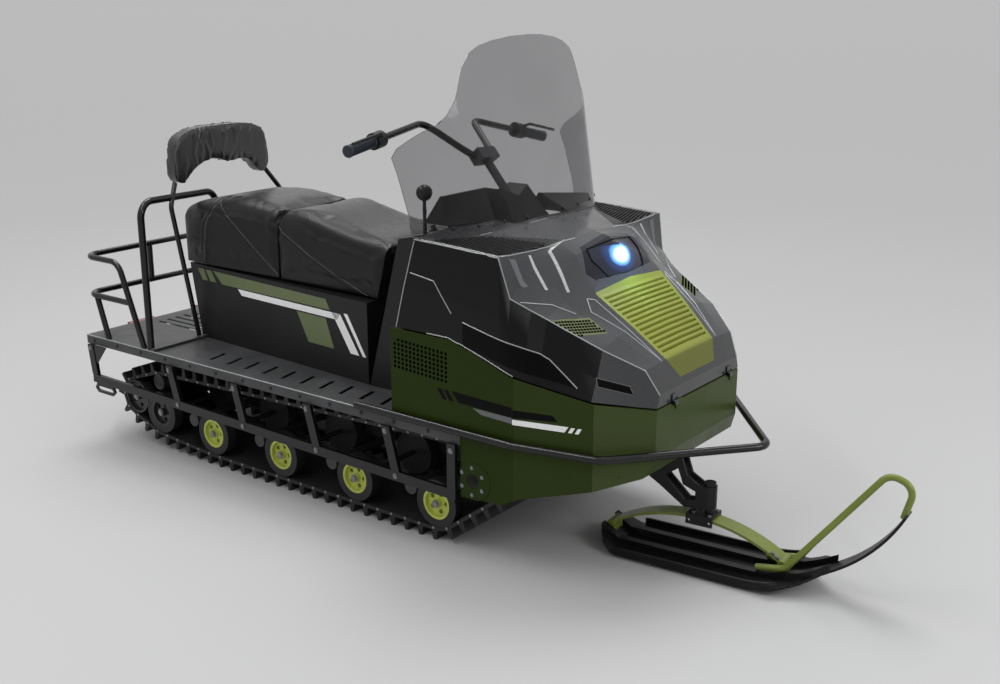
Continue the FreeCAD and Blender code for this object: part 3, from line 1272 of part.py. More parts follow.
def bar_point(pull, y, rise):
    """A point given back from the column, across, and up along the column from the clamp."""
    tilt = math.radians(COLUMN_TILT)
    ahead = Vector(math.cos(tilt), 0, math.sin(tilt))
    return Vector(CLAMP_X, 0, CLAMP_Z) - ahead * pull + Y_AXIS * y + column_axis() * rise


def bar_route():
    """The corner points of the handlebar from right to left."""
    right = [bar_point(BAR_END_PULL, -BAR_END_Y, BAR_END_RISE), bar_point(BAR_PULL, -BAR_RISER_Y, BAR_RISE),
             bar_point(0, -BAR_CENTRE, 0)]
    left = [bar_point(0, BAR_CENTRE, 0), bar_point(BAR_PULL, BAR_RISER_Y, BAR_RISE),
            bar_point(BAR_END_PULL, BAR_END_Y, BAR_END_RISE)]
    return right + left


def make_handlebar():
    """The bent tube bar."""
    return turned_bar(tube(bar_route(), BAR_TUBE, BAR_BEND))


def along_bar(side, distance):
    """A point on the bar's outer run, measured in from its end."""
    route = bar_route()
    end, bend = (route[0], route[1]) if side < 0 else (route[-1], route[-2])
    return end + (bend - end).normalize() * distance


def sleeve(side, start, length, radius):
    """A round sleeve round the bar's outer run."""
    first = along_bar(side, start)
    last = along_bar(side, start + length)
    ring = rod_between(radius, first, last)
    bar = rod_between(BAR_TUBE, along_bar(side, start - OVERRUN), along_bar(side, start + length + OVERRUN))
    return ring.cut(bar)


def make_grips():
    """The two rubber grips."""
    return turned_bar(grouped([sleeve(side, 0, GRIP_LENGTH, GRIP_RADIUS) for side in (-1, 1)]))


def make_switches():
    """The switch housings inside the grips, each with its lever."""
    pieces = []
    for side in (-1, 1):
        start = GRIP_LENGTH + SEAT_GAP
        housing = sleeve(side, start, SWITCH_LENGTH, SWITCH_RADIUS)
        tilt = math.radians(COLUMN_TILT)
        ahead = Vector(math.cos(tilt), 0, math.sin(tilt))
        root = along_bar(side, start + SWITCH_LENGTH / 2) + ahead * SWITCH_RADIUS * LEVER_ROOT_SHARE
        tip = along_bar(side, start - BRAKE_LEVER_LENGTH) + ahead * (SWITCH_RADIUS + GRIP_RADIUS)
        knee = along_bar(side, start) + ahead * (SWITCH_RADIUS + GRIP_RADIUS)
        lever = tube([root, knee, tip], BRAKE_LEVER_RADIUS, BRAKE_LEVER_RADIUS * 2)
        pieces.append(joined([housing, lever]))
    return turned_bar(grouped(pieces))


def make_column():
    """The steering column with the clamp that holds the bar."""
    foot = Vector(CLAMP_X, 0, CLAMP_Z) - column_axis() * COLUMN_LENGTH
    post = Part.makeCylinder(COLUMN_RADIUS, COLUMN_LENGTH, foot, column_axis())
    block = box(-CLAMP_DEPTH / 2, CLAMP_DEPTH / 2, -CLAMP_WIDTH / 2, CLAMP_WIDTH / 2, -CLAMP_HEIGHT / 2,
                CLAMP_HEIGHT / 2)
    block.rotate(Vector(0, 0, 0), Y_AXIS, -COLUMN_TILT)
    block.translate(Vector(CLAMP_X, 0, CLAMP_Z))
    column = joined([post, block])
    return turned_bar(column.cut(tube(bar_route(), BAR_TUBE, BAR_BEND)))


# Ski

def turned_ski(shape):
    """A ski piece moved from the kingpin's own frame to its place at rest."""
    shape.rotate(Vector(0, 0, 0), Z_AXIS, STEER_REST)
    shape.translate(Vector(KINGPIN_X, 0, 0))
    return shape


def sole_rise(distance, lift):
    """The height of the line that lies a lift above the curved sole, at a distance ahead of its flat part."""
    radius = SKI_BEND - lift
    return RUNNER_DEPTH + SKI_BEND - math.sqrt(radius ** 2 - (distance - SKI_FLAT) ** 2)


def ski_line(lift):
    """The side curve of the blade at one height above its sole, as edges from the heel to the tip."""
    z = RUNNER_DEPTH + lift
    heel = Vector(-SKI_HEEL, 0, z + SKI_HEEL_LIFT)
    heel_flat = Vector(-SKI_HEEL + SKI_HEEL_RUN, 0, z)
    flat = Vector(SKI_FLAT, 0, z)
    turn = math.asin((SKI_TIP - SKI_FLAT) / SKI_BEND)
    radius = SKI_BEND - lift

    def bend_at(angle):
        centre_z = RUNNER_DEPTH + SKI_BEND
        return Vector(SKI_FLAT + radius * math.sin(angle), 0, centre_z - radius * math.cos(angle))

    return [Part.makeLine(heel, heel_flat), Part.makeLine(heel_flat, flat),
            Part.Arc(flat, bend_at(turn / 2), bend_at(turn)).toShape()]


def ski_band(low, high, y0, y1):
    """A band that follows the blade between two heights above its sole."""
    lower = ski_line(low)
    upper = ski_line(high)
    ends = [Part.makeLine(lower[0].Vertexes[0].Point, upper[0].Vertexes[0].Point),
            Part.makeLine(lower[-1].Vertexes[-1].Point, upper[-1].Vertexes[-1].Point)]
    face = Part.Face(Part.Wire(Part.__sortEdges__(lower + upper + ends)))
    band = face.extrude(Vector(0, y1 - y0, 0))
    band.translate(Vector(0, y0, 0))
    return band


def ski_plan():
    """The blade's plan outline: rounded heel, long parallel sides and a narrow upturned tip."""
    half = SKI_HALF_WIDTH
    side_shares = ((0.0, 0.45), (0.03, 0.80), (0.09, 1.0), (0.635, 1.0), (0.712, 0.68), (0.762, 0.31),
                   (0.784, 0.27), (1.0, 0.23))
    length = SKI_HEEL + SKI_TIP
    right = [(-SKI_HEEL + length * x, -half * y) for x, y in side_shares]
    return right + [(x, -y) for x, y in reversed(right)]


def make_ski_blade():
    """The blade: a curved sheet with a low flange along each side and two raised ribs."""
    pieces = [ski_band(0, SKI_SHEET, -SKI_HALF_WIDTH, SKI_HALF_WIDTH)]
    for inner, outer in ((SKI_HALF_WIDTH - SKI_FLANGE_SHEET, SKI_HALF_WIDTH),
                         (SKI_RIDGE_INNER, SKI_RIDGE_OUTER)):
        pieces.append(ski_band(0, SKI_FLANGE, inner, outer))
        pieces.append(ski_band(0, SKI_FLANGE, -outer, -inner))
    blade = joined(pieces).common(prism_z(ski_plan(), -OVERRUN, SKI_BEND + OVERRUN))
    return turned_ski(blade)


def make_ski_runner():
    """The wear bar under the blade."""
    runner = ski_band(-RUNNER_DEPTH, 0, -RUNNER_HALF_WIDTH, RUNNER_HALF_WIDTH)
    flat = box(-SKI_HEEL + SKI_HEEL_RUN, SKI_FLAT, -OVERRUN, OVERRUN, -OVERRUN, RUNNER_DEPTH + OVERRUN)
    return turned_ski(runner.common(flat))


def spring_arc(offset):
    """The spring's bow at an offset from its lower face."""
    return Part.Arc(Vector(-SPRING_REAR, 0, SPRING_END_Z + offset),
                    Vector((SPRING_FRONT - SPRING_REAR) / 2, 0, SPRING_TOP_Z + offset - SPRING_THICKNESS),
                    Vector(SPRING_FRONT, 0, SPRING_END_Z + offset)).toShape()


def make_leaf_spring():
    """The bowed leaf on two shackles that stand on the blade."""
    half = SPRING_HALF_WIDTH
    low = spring_arc(0)
    high = spring_arc(SPRING_THICKNESS)
    ends = [Part.makeLine(low.Vertexes[0].Point, high.Vertexes[0].Point),
            Part.makeLine(low.Vertexes[-1].Point, high.Vertexes[-1].Point)]
    leaf = Part.Face(Part.Wire(Part.__sortEdges__([low, high] + ends))).extrude(Vector(0, 2 * half, 0))
    leaf.translate(Vector(0, -half, 0))
    pieces = [leaf]
    foot = RUNNER_DEPTH + SKI_SHEET
    for x in (-SPRING_REAR, SPRING_FRONT):
        pieces.append(rod_y(SPRING_EYE, x, SPRING_END_Z, -half, half))
        pieces.append(box(x - SPRING_EYE, x + SPRING_EYE, -half, half, foot, SPRING_END_Z))
    spring = joined(pieces)
    return turned_ski(spring.cut(ski_band(-OVERRUN, SKI_SHEET, -half - OVERRUN, half + OVERRUN)))


def make_ski_fork():
    """The saddle on the spring, with a pierced cheek on each side, and the kingpin with its nut."""
    seat = SPRING_TOP_Z + SEAT_GAP
    top = seat + SADDLE_PLATE
    rear = -SADDLE_REAR
    pieces = [box(rear, SADDLE_FRONT, -SADDLE_HALF_WIDTH, SADDLE_HALF_WIDTH, seat, top)]
    cheek = SADDLE_HALF_WIDTH - SADDLE_PLATE
    for side in (-1, 1):
        y0 = side * cheek
        y1 = side * SADDLE_HALF_WIDTH
        plate = box(rear, SADDLE_FRONT, min(y0, y1), max(y0, y1), CHEEK_LOW_Z, seat)
        for x in (rear + 2 * CHEEK_HOLE, SADDLE_FRONT - 2 * CHEEK_HOLE):
            plate = plate.cut(rod_y(CHEEK_HOLE, x, (CHEEK_LOW_Z + seat) / 2, -SKI_HALF_WIDTH, SKI_HALF_WIDTH))
        pieces.append(plate)
    shoulder = BEARING_LOW_Z - SEAT_GAP
    crown = BEARING_TOP_Z + SEAT_GAP
    pieces.append(Part.makeCylinder(COLLAR_RADIUS, shoulder - top, Vector(0, 0, top)))
    pieces.append(Part.makeCylinder(KINGPIN_RADIUS, crown - top, Vector(0, 0, top)))
    pieces.append(Part.makeCylinder(KINGPIN_NUT_RADIUS, KINGPIN_NUT_HEIGHT, Vector(0, 0, crown)))
    return turned_ski(joined(pieces))


def make_ski_handle():
    """The tube loop from one rib of the blade up and over to the tip, with a second foot on the other rib."""
    def foot(distance, y):
        return Vector(distance, y, sole_rise(distance, SKI_FLANGE) + HANDLE_TUBE + SEAT_GAP)

    def rising(distance):
        share = (distance - HANDLE_BASE) / (HANDLE_TOP - HANDLE_BASE)
        start = foot(HANDLE_BASE, -HANDLE_FOOT_Y)
        return start + (Vector(HANDLE_TOP, 0, HANDLE_TOP_Z) - start) * share

    end_z = sole_rise(HANDLE_END, SKI_SHEET)
    loop = tube([foot(HANDLE_FOOT, -HANDLE_FOOT_Y), foot(HANDLE_BASE, -HANDLE_FOOT_Y),
                 Vector(HANDLE_TOP, 0, HANDLE_TOP_Z), Vector(HANDLE_TIP, 0, HANDLE_TIP_Z),
                 Vector(HANDLE_END, 0, end_z)], HANDLE_TUBE, HANDLE_BEND)
    branch = tube([foot(HANDLE_FOOT, HANDLE_FOOT_Y), foot(HANDLE_CROSS, HANDLE_FOOT_Y), rising(HANDLE_MEET)],
                  HANDLE_TUBE, HANDLE_CROSS_BEND)
    blade = ski_band(-OVERRUN, SKI_SHEET + SEAT_GAP, -SKI_HALF_WIDTH, SKI_HALF_WIDTH)
    return turned_ski(joined([loop, branch]).cut(blade))


def make_kingpin_housing(pan_form):
    """The bearing ahead of the nose, on two pierced plates that run back under the pan."""
    length = HORN_FRONT_X - HORN_REAR_X
    height = HORN_TOP_Z - HORN_LOW_Z
    outline_shares = ((0.0, 0.68), (0.0, 1.0), (0.62, 1.0), (0.70, 0.60), (0.84, 0.47), (0.925, 0.47),
                      (0.925, 0.06), (0.68, 0.0), (0.40, 0.30))
    window_shares = ((0.45, 0.50), (0.60, 0.70), (0.66, 0.42), (0.80, 0.34), (0.80, 0.16), (0.68, 0.14))

    def placed(shares):
        return [(HORN_REAR_X + length * x, HORN_LOW_Z + height * z) for x, z in shares]

    foot = Vector(KINGPIN_X, 0, BEARING_LOW_Z)
    pieces = [Part.makeCylinder(BEARING_RADIUS, BEARING_TOP_Z - BEARING_LOW_Z, foot)]
    for side in (-1, 1):
        y0 = min(side * HORN_INNER_Y, side * HORN_OUTER_Y)
        y1 = max(side * HORN_INNER_Y, side * HORN_OUTER_Y)
        pieces.append(prism_y(placed(outline_shares), y0, y1).cut(prism_y(placed(window_shares), y0, y1)))
    bore = Part.makeCylinder(KINGPIN_RADIUS + KINGPIN_CLEARANCE, BEARING_TOP_Z - HORN_LOW_Z,
                             Vector(KINGPIN_X, 0, HORN_LOW_Z))
    return joined(pieces).cut(bore).cut(pan_form)


def pan_block():
    """The pan's outer form with no hollow."""
    outline = pan_top() + pan_bottom() + [(PAN_LOW_REAR_X, DECK_TOP_Z), (NOSE_REAR_X, DECK_TOP_Z)]
    reach = NOSE_HALF_WIDTH + OVERRUN
    plan = prism_z(nose_plan(0), PAN_LOW_Z - OVERRUN, PAN_TOP_Z + OVERRUN)
    return plan.common(prism_y(outline, -reach, reach))


def save(name, shape):
    """Write one piece to its own file."""
    shape.exportStep("parts/" + name + ".step")


def main():
    os.makedirs("parts", exist_ok=True)
    skin = hood_skin()
    hood_form = hood_block(0)
    for name, make in (("side_guard", make_side_guard), ("track", make_track), ("wheel_tyres", make_tyres),
                       ("wheel_rims", make_rims), ("bogie_arms", make_bogies)):
        right = make()
        save(name + "_right", right)
        save(name + "_left", mirrored(right))
    for name, shape in (
            ("deck", make_deck()), ("centre_beam", make_centre_beam()), ("drive_axle", make_drive_axle()),
            ("cargo_rack", make_rack()), ("passenger_handle", make_handle_hoop(grouped(backrest_posts()))),
            ("seat_box", make_seat_box()), ("seat_rear", make_seat_rear()), ("seat_front", make_seat_front()),
            ("backrest_pad", make_backrest_pad()), ("backrest_posts", make_backrest_posts()),
            ("nose_pan", make_nose_pan()), ("bumper", make_bumper()), ("console", make_console()),
            ("instrument_pod", make_pod()), ("gear_lever", make_gear_lever()),
            ("engine_block", make_engine()), ("rear_lamps", make_rear_lamps()), ("tow_hitch", make_hitch()),
            ("kingpin_housing", make_kingpin_housing(pan_block())),
            ("hood", make_hood(skin)), ("hood_grille", make_grille(skin)), ("hood_vents", make_vents(skin)),
            ("headlamp", skin.common(lamp_tool(0))), ("cowl", make_cowl(hood_form)),
            ("windscreen", make_windscreen(hood_form)),
            ("steering_column", make_column()), ("handlebar", make_handlebar()), ("grips", make_grips()),
            ("switch_housings", make_switches()),
            ("ski_fork", make_ski_fork()), ("leaf_spring", make_leaf_spring()),
            ("ski_blade", make_ski_blade()), ("ski_runner", make_ski_runner()),
            ("ski_handle", make_ski_handle())):
        save(name, shape)


main()
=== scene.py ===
import math

import bmesh
import bpy
import numpy as np
from mathutils import Matrix, Vector
from mathutils.bvhtree import BVHTree


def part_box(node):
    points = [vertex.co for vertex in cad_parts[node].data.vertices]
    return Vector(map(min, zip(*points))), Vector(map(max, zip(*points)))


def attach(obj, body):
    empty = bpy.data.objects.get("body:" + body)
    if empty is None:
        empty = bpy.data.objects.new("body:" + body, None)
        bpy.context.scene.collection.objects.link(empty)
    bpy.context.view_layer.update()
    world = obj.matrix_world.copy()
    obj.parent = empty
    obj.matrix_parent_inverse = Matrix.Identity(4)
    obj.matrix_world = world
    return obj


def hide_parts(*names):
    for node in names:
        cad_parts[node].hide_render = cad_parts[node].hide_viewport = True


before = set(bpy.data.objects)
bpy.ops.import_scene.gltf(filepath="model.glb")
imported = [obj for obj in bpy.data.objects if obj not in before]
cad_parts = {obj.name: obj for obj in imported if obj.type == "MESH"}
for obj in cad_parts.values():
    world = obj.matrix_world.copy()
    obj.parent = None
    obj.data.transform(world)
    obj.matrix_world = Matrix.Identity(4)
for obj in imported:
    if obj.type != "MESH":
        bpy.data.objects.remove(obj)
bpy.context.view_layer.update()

# X points ahead, Y to the left and Z up. Outlines, routes and small parts are in millimetres,
# and the camera, lamps and meshes in metres.
MM = 0.001
FROM_RIGHT = (0, 1, 0)
FROM_REAR = (1, 0, 0)
FROM_FRONT = (-1, 0, 0)
DOWN = (0, 0, -1)
OUTSIDE = -600
OVERHEAD = 1200

# Centre and radius of each wheel inside the right track, as (x, z, radius)
DRIVE_WHEEL = (373, 265, 80)
RETURN_ROLLER = (-1175, 266, 30)
REAR_WHEEL = (-1317, 181, 66)
IDLER = (-1175, 144, 80)
GROUND_WHEELS = [(183 - 354 * k, 124, 80) for k in range(4)]
BELT_THICKNESS = 12
CLIP_SPACING = 60
CLIP_ROWS = (104, 326)
BELT_SIDE = 386

# How near points merge in metres, how thick films are, and how many sides turned pieces have
MERGE_DISTANCE = 0.00002
FILM_THICKNESS = 0.4
LATHE_SIDES = 32


# Camera, floor and light

CAMERA_PLACE = (2.5398, -3.1736, 1.7071)
CAMERA_DROP = 16.055
CAMERA_TURN = 37.011
LENS_LENGTH = 44.725
SENSOR_WIDTH = 36.0
FLOOR_REACH = 900
FLOOR_COLOUR = (0.44, 0.44, 0.442)
SKY_AT_HORIZON = 0.455
SKY_OVERHEAD = 0.80
WIDE_LAMP_PLACE = (-0.9, 1.7, 4)
WIDE_LAMP_SPREAD = 30
GLOW_PLACE = (0.70, -0.005, 0.945)
GLOW_COLOUR = (0.35, 0.62, 1.0)

# Each panel's name, power, width, height, place and aim
PANELS = (("strip_lamp", 56, 4.4, 0.26, (-1.3, -1.3, 3.5), (-0.4, -0.45, 0.4)),
          ("back_panel", 7, 3.2, 1.2, (-3.4, 3.4, 2.2), (-0.6, 0, 0.9)),
          ("front_panel", 62, 2.2, 1.2, (4.8, 0.2, 2.6), (0.6, 0, 0.6)),
          ("far_panel", 9, 2.4, 1.2, (3.6, 3.9, 1.5), (-0.4, 0, 0.9)))


def placed(name, data):
    """A new object in the scene."""
    holder = bpy.data.objects.new(name, data)
    bpy.context.scene.collection.objects.link(holder)
    return holder


def make_camera():
    """The camera at the photograph's height, distance and angle."""
    data = bpy.data.cameras.new("studio_camera")
    data.sensor_width = SENSOR_WIDTH
    data.lens = LENS_LENGTH
    camera = placed("studio_camera", data)
    camera.location = CAMERA_PLACE
    camera.rotation_euler = (math.radians(90 - CAMERA_DROP), 0, math.radians(CAMERA_TURN))
    bpy.context.scene.camera = camera


def make_floor():
    """A pale floor that reaches the horizon."""
    mesh = bpy.data.meshes.new("studio_floor")
    reach = FLOOR_REACH
    mesh.from_pydata([(-reach, -reach, 0), (reach, -reach, 0), (reach, reach, 0), (-reach, reach, 0)], [],
                     [(0, 1, 2, 3)])
    floor = placed("studio_floor", mesh)
    paint = Finish("floor_paint", FLOOR_COLOUR, 0.7, specular=0.1)
    paint.shade(300, 1, 0.985, 1.015)
    mesh.materials.append(paint.material)


def make_sky():
    """An even grey sky, a little brighter overhead."""
    world = bpy.data.worlds.new("studio_sky")
    bpy.context.scene.world = world
    world.use_nodes = True
    tree = world.node_tree
    sky = tree.nodes["Background"]
    sky.inputs["Color"].default_value = (1.0, 1.0, 1.0, 1.0)
    place = tree.nodes.new("ShaderNodeTexCoord")
    split = tree.nodes.new("ShaderNodeSeparateXYZ")
    rise = tree.nodes.new("ShaderNodeMapRange")
    for socket, number in (("From Min", -0.05), ("From Max", 0.9), ("To Min", SKY_AT_HORIZON),
                           ("To Max", SKY_OVERHEAD)):
        rise.inputs[socket].default_value = number
    tree.links.new(place.outputs["Generated"], split.inputs[0])
    tree.links.new(split.outputs["Z"], rise.inputs["Value"])
    tree.links.new(rise.outputs[0], sky.inputs["Strength"])


def hang(lamp, place, glossy=True, aim=None):
    """Hangs a lamp, unseen through the windscreen and, if not glossy, in no reflection."""
    holder = placed(lamp.name, lamp)
    holder.location = place
    if aim:
        holder.rotation_euler = (Vector(aim) - Vector(place)).to_track_quat("-Z", "Y").to_euler()
    holder.visible_transmission = False
    holder.visible_glossy = glossy


def make_lamps():
    """One wide soft lamp, a strip overhead, three panels, and a small glow in front of the headlamp."""
    wide = bpy.data.lights.new("wide_lamp", "SUN")
    wide.energy = 1.3
    wide.angle = math.radians(WIDE_LAMP_SPREAD)
    hang(wide, WIDE_LAMP_PLACE, aim=(0, 0, 0))
    for name, power, width, height, place, aim in PANELS:
        panel = bpy.data.lights.new(name, "AREA")
        panel.energy = power
        panel.shape = "RECTANGLE"
        panel.size = width
        panel.size_y = height
        hang(panel, place, glossy=name != "far_panel", aim=aim)
    glow = bpy.data.lights.new("lens_glow", "POINT")
    glow.energy = 1.5
    glow.color = GLOW_COLOUR
    glow.shadow_soft_size = 0.03
    hang(glow, GLOW_PLACE, glossy=False)


# Finishes

# The Mix node's sockets for two colours and its colour result
FIRST_COLOUR = 6
SECOND_COLOUR = 7
MIXED_COLOUR = 2


class Finish:
    """One material, with short calls for the nodes that shape its colour, shine and relief."""

    def __init__(self, name, colour, roughness, metallic=0.0, specular=0.5, coat=0.0, coat_roughness=0.08):
        self.material = bpy.data.materials.new(name)
        self.material.use_nodes = True
        self.tree = self.material.node_tree
        self.shader = self.tree.nodes["Principled BSDF"]
        numbers = {"Base Color": (*colour, 1.0), "Roughness": roughness, "Metallic": metallic,
                   "Specular IOR Level": specular, "Coat Weight": coat, "Coat Roughness": coat_roughness}
        for socket, value in numbers.items():
            self.shader.inputs[socket].default_value = value
        self.colour = self.add("ShaderNodeRGB").outputs[0]
        self.colour.default_value = (*colour, 1.0)
        self.roughness = roughness
        self.place = self.add("ShaderNodeTexCoord").outputs["Object"]
        self.relief = None

    def add(self, kind, numbers=None, **settings):
        """A node with its settings and the numbers on its sockets."""
        node = self.tree.nodes.new(kind)
        for key, value in settings.items():
            setattr(node, key, value)
        for socket, value in (numbers or {}).items():
            node.inputs[socket].default_value = value
        return node

    def join(self, source, target):
        if isinstance(source, (int, float)):
            target.default_value = source
        else:
            self.tree.links.new(source, target)

    def stretched(self, scale):
        """The place, scaled differently along each axis."""
        node = self.add("ShaderNodeMapping", {"Scale": scale})
        self.join(self.place, node.inputs["Vector"])
        return node.outputs[0]

    def noise(self, scale, detail=4.0, rough=0.55, warp=0.0, along=None):
        node = self.add("ShaderNodeTexNoise",
                        {"Scale": scale, "Detail": detail, "Roughness": rough, "Distortion": warp})
        self.join(along or self.place, node.inputs["Vector"])
        return node.outputs["Fac"]

    def cells(self, scale, feature="F1"):
        node = self.add("ShaderNodeTexVoronoi", {"Scale": scale}, feature=feature)
        self.join(self.place, node.inputs["Vector"])
        return node.outputs["Distance"]

    def spread(self, value, low, high, to_low=0.0, to_high=1.0):
        node = self.add("ShaderNodeMapRange",
                        {"From Min": low, "From Max": high, "To Min": to_low, "To Max": to_high})
        self.join(value, node.inputs["Value"])
        return node.outputs[0]

    def sums(self, operation, first, second=0.0):
        node = self.add("ShaderNodeMath", operation=operation)
        self.join(first, node.inputs[0])
        self.join(second, node.inputs[1])
        return node.outputs[0]

    def along_axis(self, axis):
        """The place along one axis, 0 for X and 1 for Y."""
        node = self.add("ShaderNodeSeparateXYZ")
        self.join(self.place, node.inputs[0])
        return node.outputs[axis]

    def facing(self, axis):
        """How far the surface faces along one axis."""
        node = self.add("ShaderNodeSeparateXYZ")
        self.join(self.add("ShaderNodeNewGeometry").outputs["Normal"], node.inputs[0])
        return node.outputs[axis]

    def flutes(self, pitch):
        """Upright waves across the width."""
        return self.sums("SINE", self.sums("MULTIPLY", self.along_axis(1), pitch))

    def tint(self, value):
        """Multiplies the colour so far by a grey value."""
        node = self.add("ShaderNodeMix", {"Factor": 1.0}, data_type="RGBA", blend_type="MULTIPLY")
        self.join(self.colour, node.inputs[FIRST_COLOUR])
        self.join(value, node.inputs[SECOND_COLOUR])
        self.colour = node.outputs[MIXED_COLOUR]
        self.join(self.colour, self.shader.inputs["Base Color"])

    def shade(self, scale, detail, low, high):
        """Lets the colour drift between a darker and a lighter shade."""
        self.tint(self.spread(self.noise(scale, detail=detail), 0.3, 0.7, low, high))

    def cover(self, colour, mask, amount=None):
        """Lays another colour over the colour so far where the mask is high."""
        if amount is not None:
            mask = self.sums("MULTIPLY", mask, amount)
        node = self.add("ShaderNodeMix", data_type="RGBA")
        self.join(mask, node.inputs["Factor"])
        self.join(self.colour, node.inputs[FIRST_COLOUR])
        node.inputs[SECOND_COLOUR].default_value = (*colour, 1.0)
        self.colour = node.outputs[MIXED_COLOUR]
        self.join(self.colour, self.shader.inputs["Base Color"])

    def gloss(self, value):
        self.join(value, self.shader.inputs["Roughness"])

    def bump(self, height, distance, strength):
        node = self.add("ShaderNodeBump", {"Distance": distance, "Strength": strength})
        self.join(height, node.inputs["Height"])
        if self.relief is not None:
            self.join(self.relief, node.inputs["Normal"])
        self.relief = node.outputs[0]
        self.join(self.relief, self.shader.inputs["Normal"])

    def edges(self, radius, low=0.02, high=0.16):
        """High along outer and inner edges, from how far a rounded normal leaves the true one."""
        bevel = self.add("ShaderNodeBevel", {"Radius": radius}, samples=4)
        facing = self.add("ShaderNodeNewGeometry")
        product = self.add("ShaderNodeVectorMath", operation="DOT_PRODUCT")
        self.join(bevel.outputs[0], product.inputs[0])
        self.join(facing.outputs["Normal"], product.inputs[1])
        return self.spread(self.sums("SUBTRACT", 1.0, product.outputs["Value"]), low, high)

    def wear(self, colour, amount, radius=0.002, scale=40):
        """Rubbed edges, broken up by noise."""
        patchy = self.spread(self.noise(scale, detail=5), 0.42, 0.62)
        self.cover(colour, self.sums("MULTIPLY", self.edges(radius), patchy), amount)

    def smudges(self, scale=7.0, by=0.08):
        """Roughness that drifts across the surface, as handled paint has."""
        drift = self.noise(scale, detail=5, rough=0.6, warp=0.6)
        self.gloss(self.spread(drift, 0.3, 0.7, self.roughness - by, self.roughness + by))


# Colour, roughness and what else differs from plain paint
PAINTS = {
    "tube_black": ((0.006, 0.006, 0.0065), 0.17, dict(grain=900, specular=0.42,
                                                      wear_colour=(0.07, 0.07, 0.075))),
    "dark_steel": ((0.03, 0.031, 0.033), 0.42, dict(grain=600, wear_colour=(0.22, 0.22, 0.225))),
    "moulded_black": ((0.0085, 0.0085, 0.009), 0.42, dict(grain=110, grain_depth=0.00006, specular=0.3,
                                                          wear_colour=(0.05, 0.05, 0.05), wear=0.3)),
    "gloss_black": ((0.0018, 0.0018, 0.002), 0.2, dict(grain=60, grain_depth=0.00004, specular=0.08,
                                                       mottle=0.05)),
    "hood_paint": ((0.043, 0.044, 0.046), 0.27, dict(grain=1100, grain_depth=0.00006, specular=0.2,
                                                     wear_colour=(0.10, 0.10, 0.105), wear=0.4)),
    "pan_green": ((0.017, 0.030, 0.0022), 0.30, dict(grain=1000, grain_depth=0.00006, specular=0.09,
                                                     wear_colour=(0.06, 0.08, 0.03), wear=0.5)),
    "grille_olive": ((0.205, 0.225, 0.022), 0.38, dict(grain=900, wear_colour=(0.36, 0.38, 0.12), wear=0.5)),
    "mesh_olive": ((0.085, 0.105, 0.028), 0.45, dict(grain=700)),
    "rim_olive": ((0.46, 0.52, 0.085), 0.36, dict(grain=800, wear_colour=(0.55, 0.56, 0.32), wear=0.6)),
    "olive_steel": ((0.15, 0.19, 0.028), 0.33, dict(grain=900, wear_colour=(0.42, 0.42, 0.3), wear=0.6)),
    "decal_olive": ((0.118, 0.146, 0.060), 0.36, dict(grain=300, grain_depth=0.00003)),
    "decal_silver": ((0.80, 0.80, 0.81), 0.34, dict(grain=260, grain_depth=0.00003)),
    "decal_grey": ((0.11, 0.113, 0.118), 0.4, dict(grain=260, grain_depth=0.00003)),
    "decal_mesh": ((0.20, 0.205, 0.21), 0.4, dict(grain=260, grain_depth=0.00003)),
    # Painted highlights: the bright lines on the hood's and deck's edges, and the dim lines round the hood's
    # recess
    "painted_highlight_silver": ((0.36, 0.365, 0.37), 0.28, dict(grain=500, metallic=0.5)),
    "painted_dim_highlight": ((0.10, 0.10, 0.104), 0.3, dict(grain=500)),
    "deck_coat": ((0.036, 0.037, 0.039), 0.46, dict(grain=300, wear_colour=(0.16, 0.16, 0.165), wear=0.6)),
    "track_rubber": ((0.0085, 0.0085, 0.009), 0.62, dict(grain=260, grain_depth=0.0006, mottle=0.3,
                                                         wear_colour=(0.035, 0.035, 0.034), wear=0.8)),
    "tyre_rubber": ((0.011, 0.011, 0.011), 0.55, dict(grain=420, grain_depth=0.0004,
                                                      wear_colour=(0.045, 0.045, 0.045), wear=0.7)),
    "grip_rubber": ((0.008, 0.013, 0.022), 0.42, dict(grain=800, grain_depth=0.0003)),
    "thread": ((0.34, 0.34, 0.345), 0.6, dict(grain=2400, grain_depth=0.0003)),
    "ski_plastic": ((0.005, 0.005, 0.0055), 0.40, dict(grain=500, specular=0.25,
                                                       wear_colour=(0.06, 0.06, 0.062), wear=0.7)),
    "engine_metal": ((0.16, 0.16, 0.165), 0.5, dict(grain=160, grain_depth=0.0008, metallic=0.8)),
    "lamp_housing": ((0.0025, 0.004, 0.0085), 0.16, dict(grain=80, grain_depth=0.00004, specular=0.4)),
    "hole_black": ((0.0012, 0.0012, 0.0012), 0.9, dict(grain=300, mottle=0.3, specular=0.0)),
    "dial_face": ((0.006, 0.006, 0.007), 0.25, dict(grain=500, coat=0.7)),
    "dial_mark": ((0.62, 0.62, 0.6), 0.5, dict(grain=500)),
    "dial_needle": ((0.62, 0.06, 0.01), 0.4, dict(grain=500))}


def painted(name, colour, roughness, grain, grain_depth=0.00012, wear_colour=None, wear=0.45, mottle=0.1,
            **settings):
    """Sprayed or moulded paint: drifting shade and gloss, fine relief and rubbed edges."""
    paint = Finish(name, colour, roughness, **settings)
    paint.shade(2.6, 3, 1 - mottle, 1 + mottle)
    paint.shade(95, 2, 1 - mottle / 2, 1 + mottle / 2)
    paint.smudges()
    paint.bump(paint.noise(grain, detail=2), grain_depth, 0.6)
    if wear_colour:
        paint.wear(wear_colour, wear)
    return paint


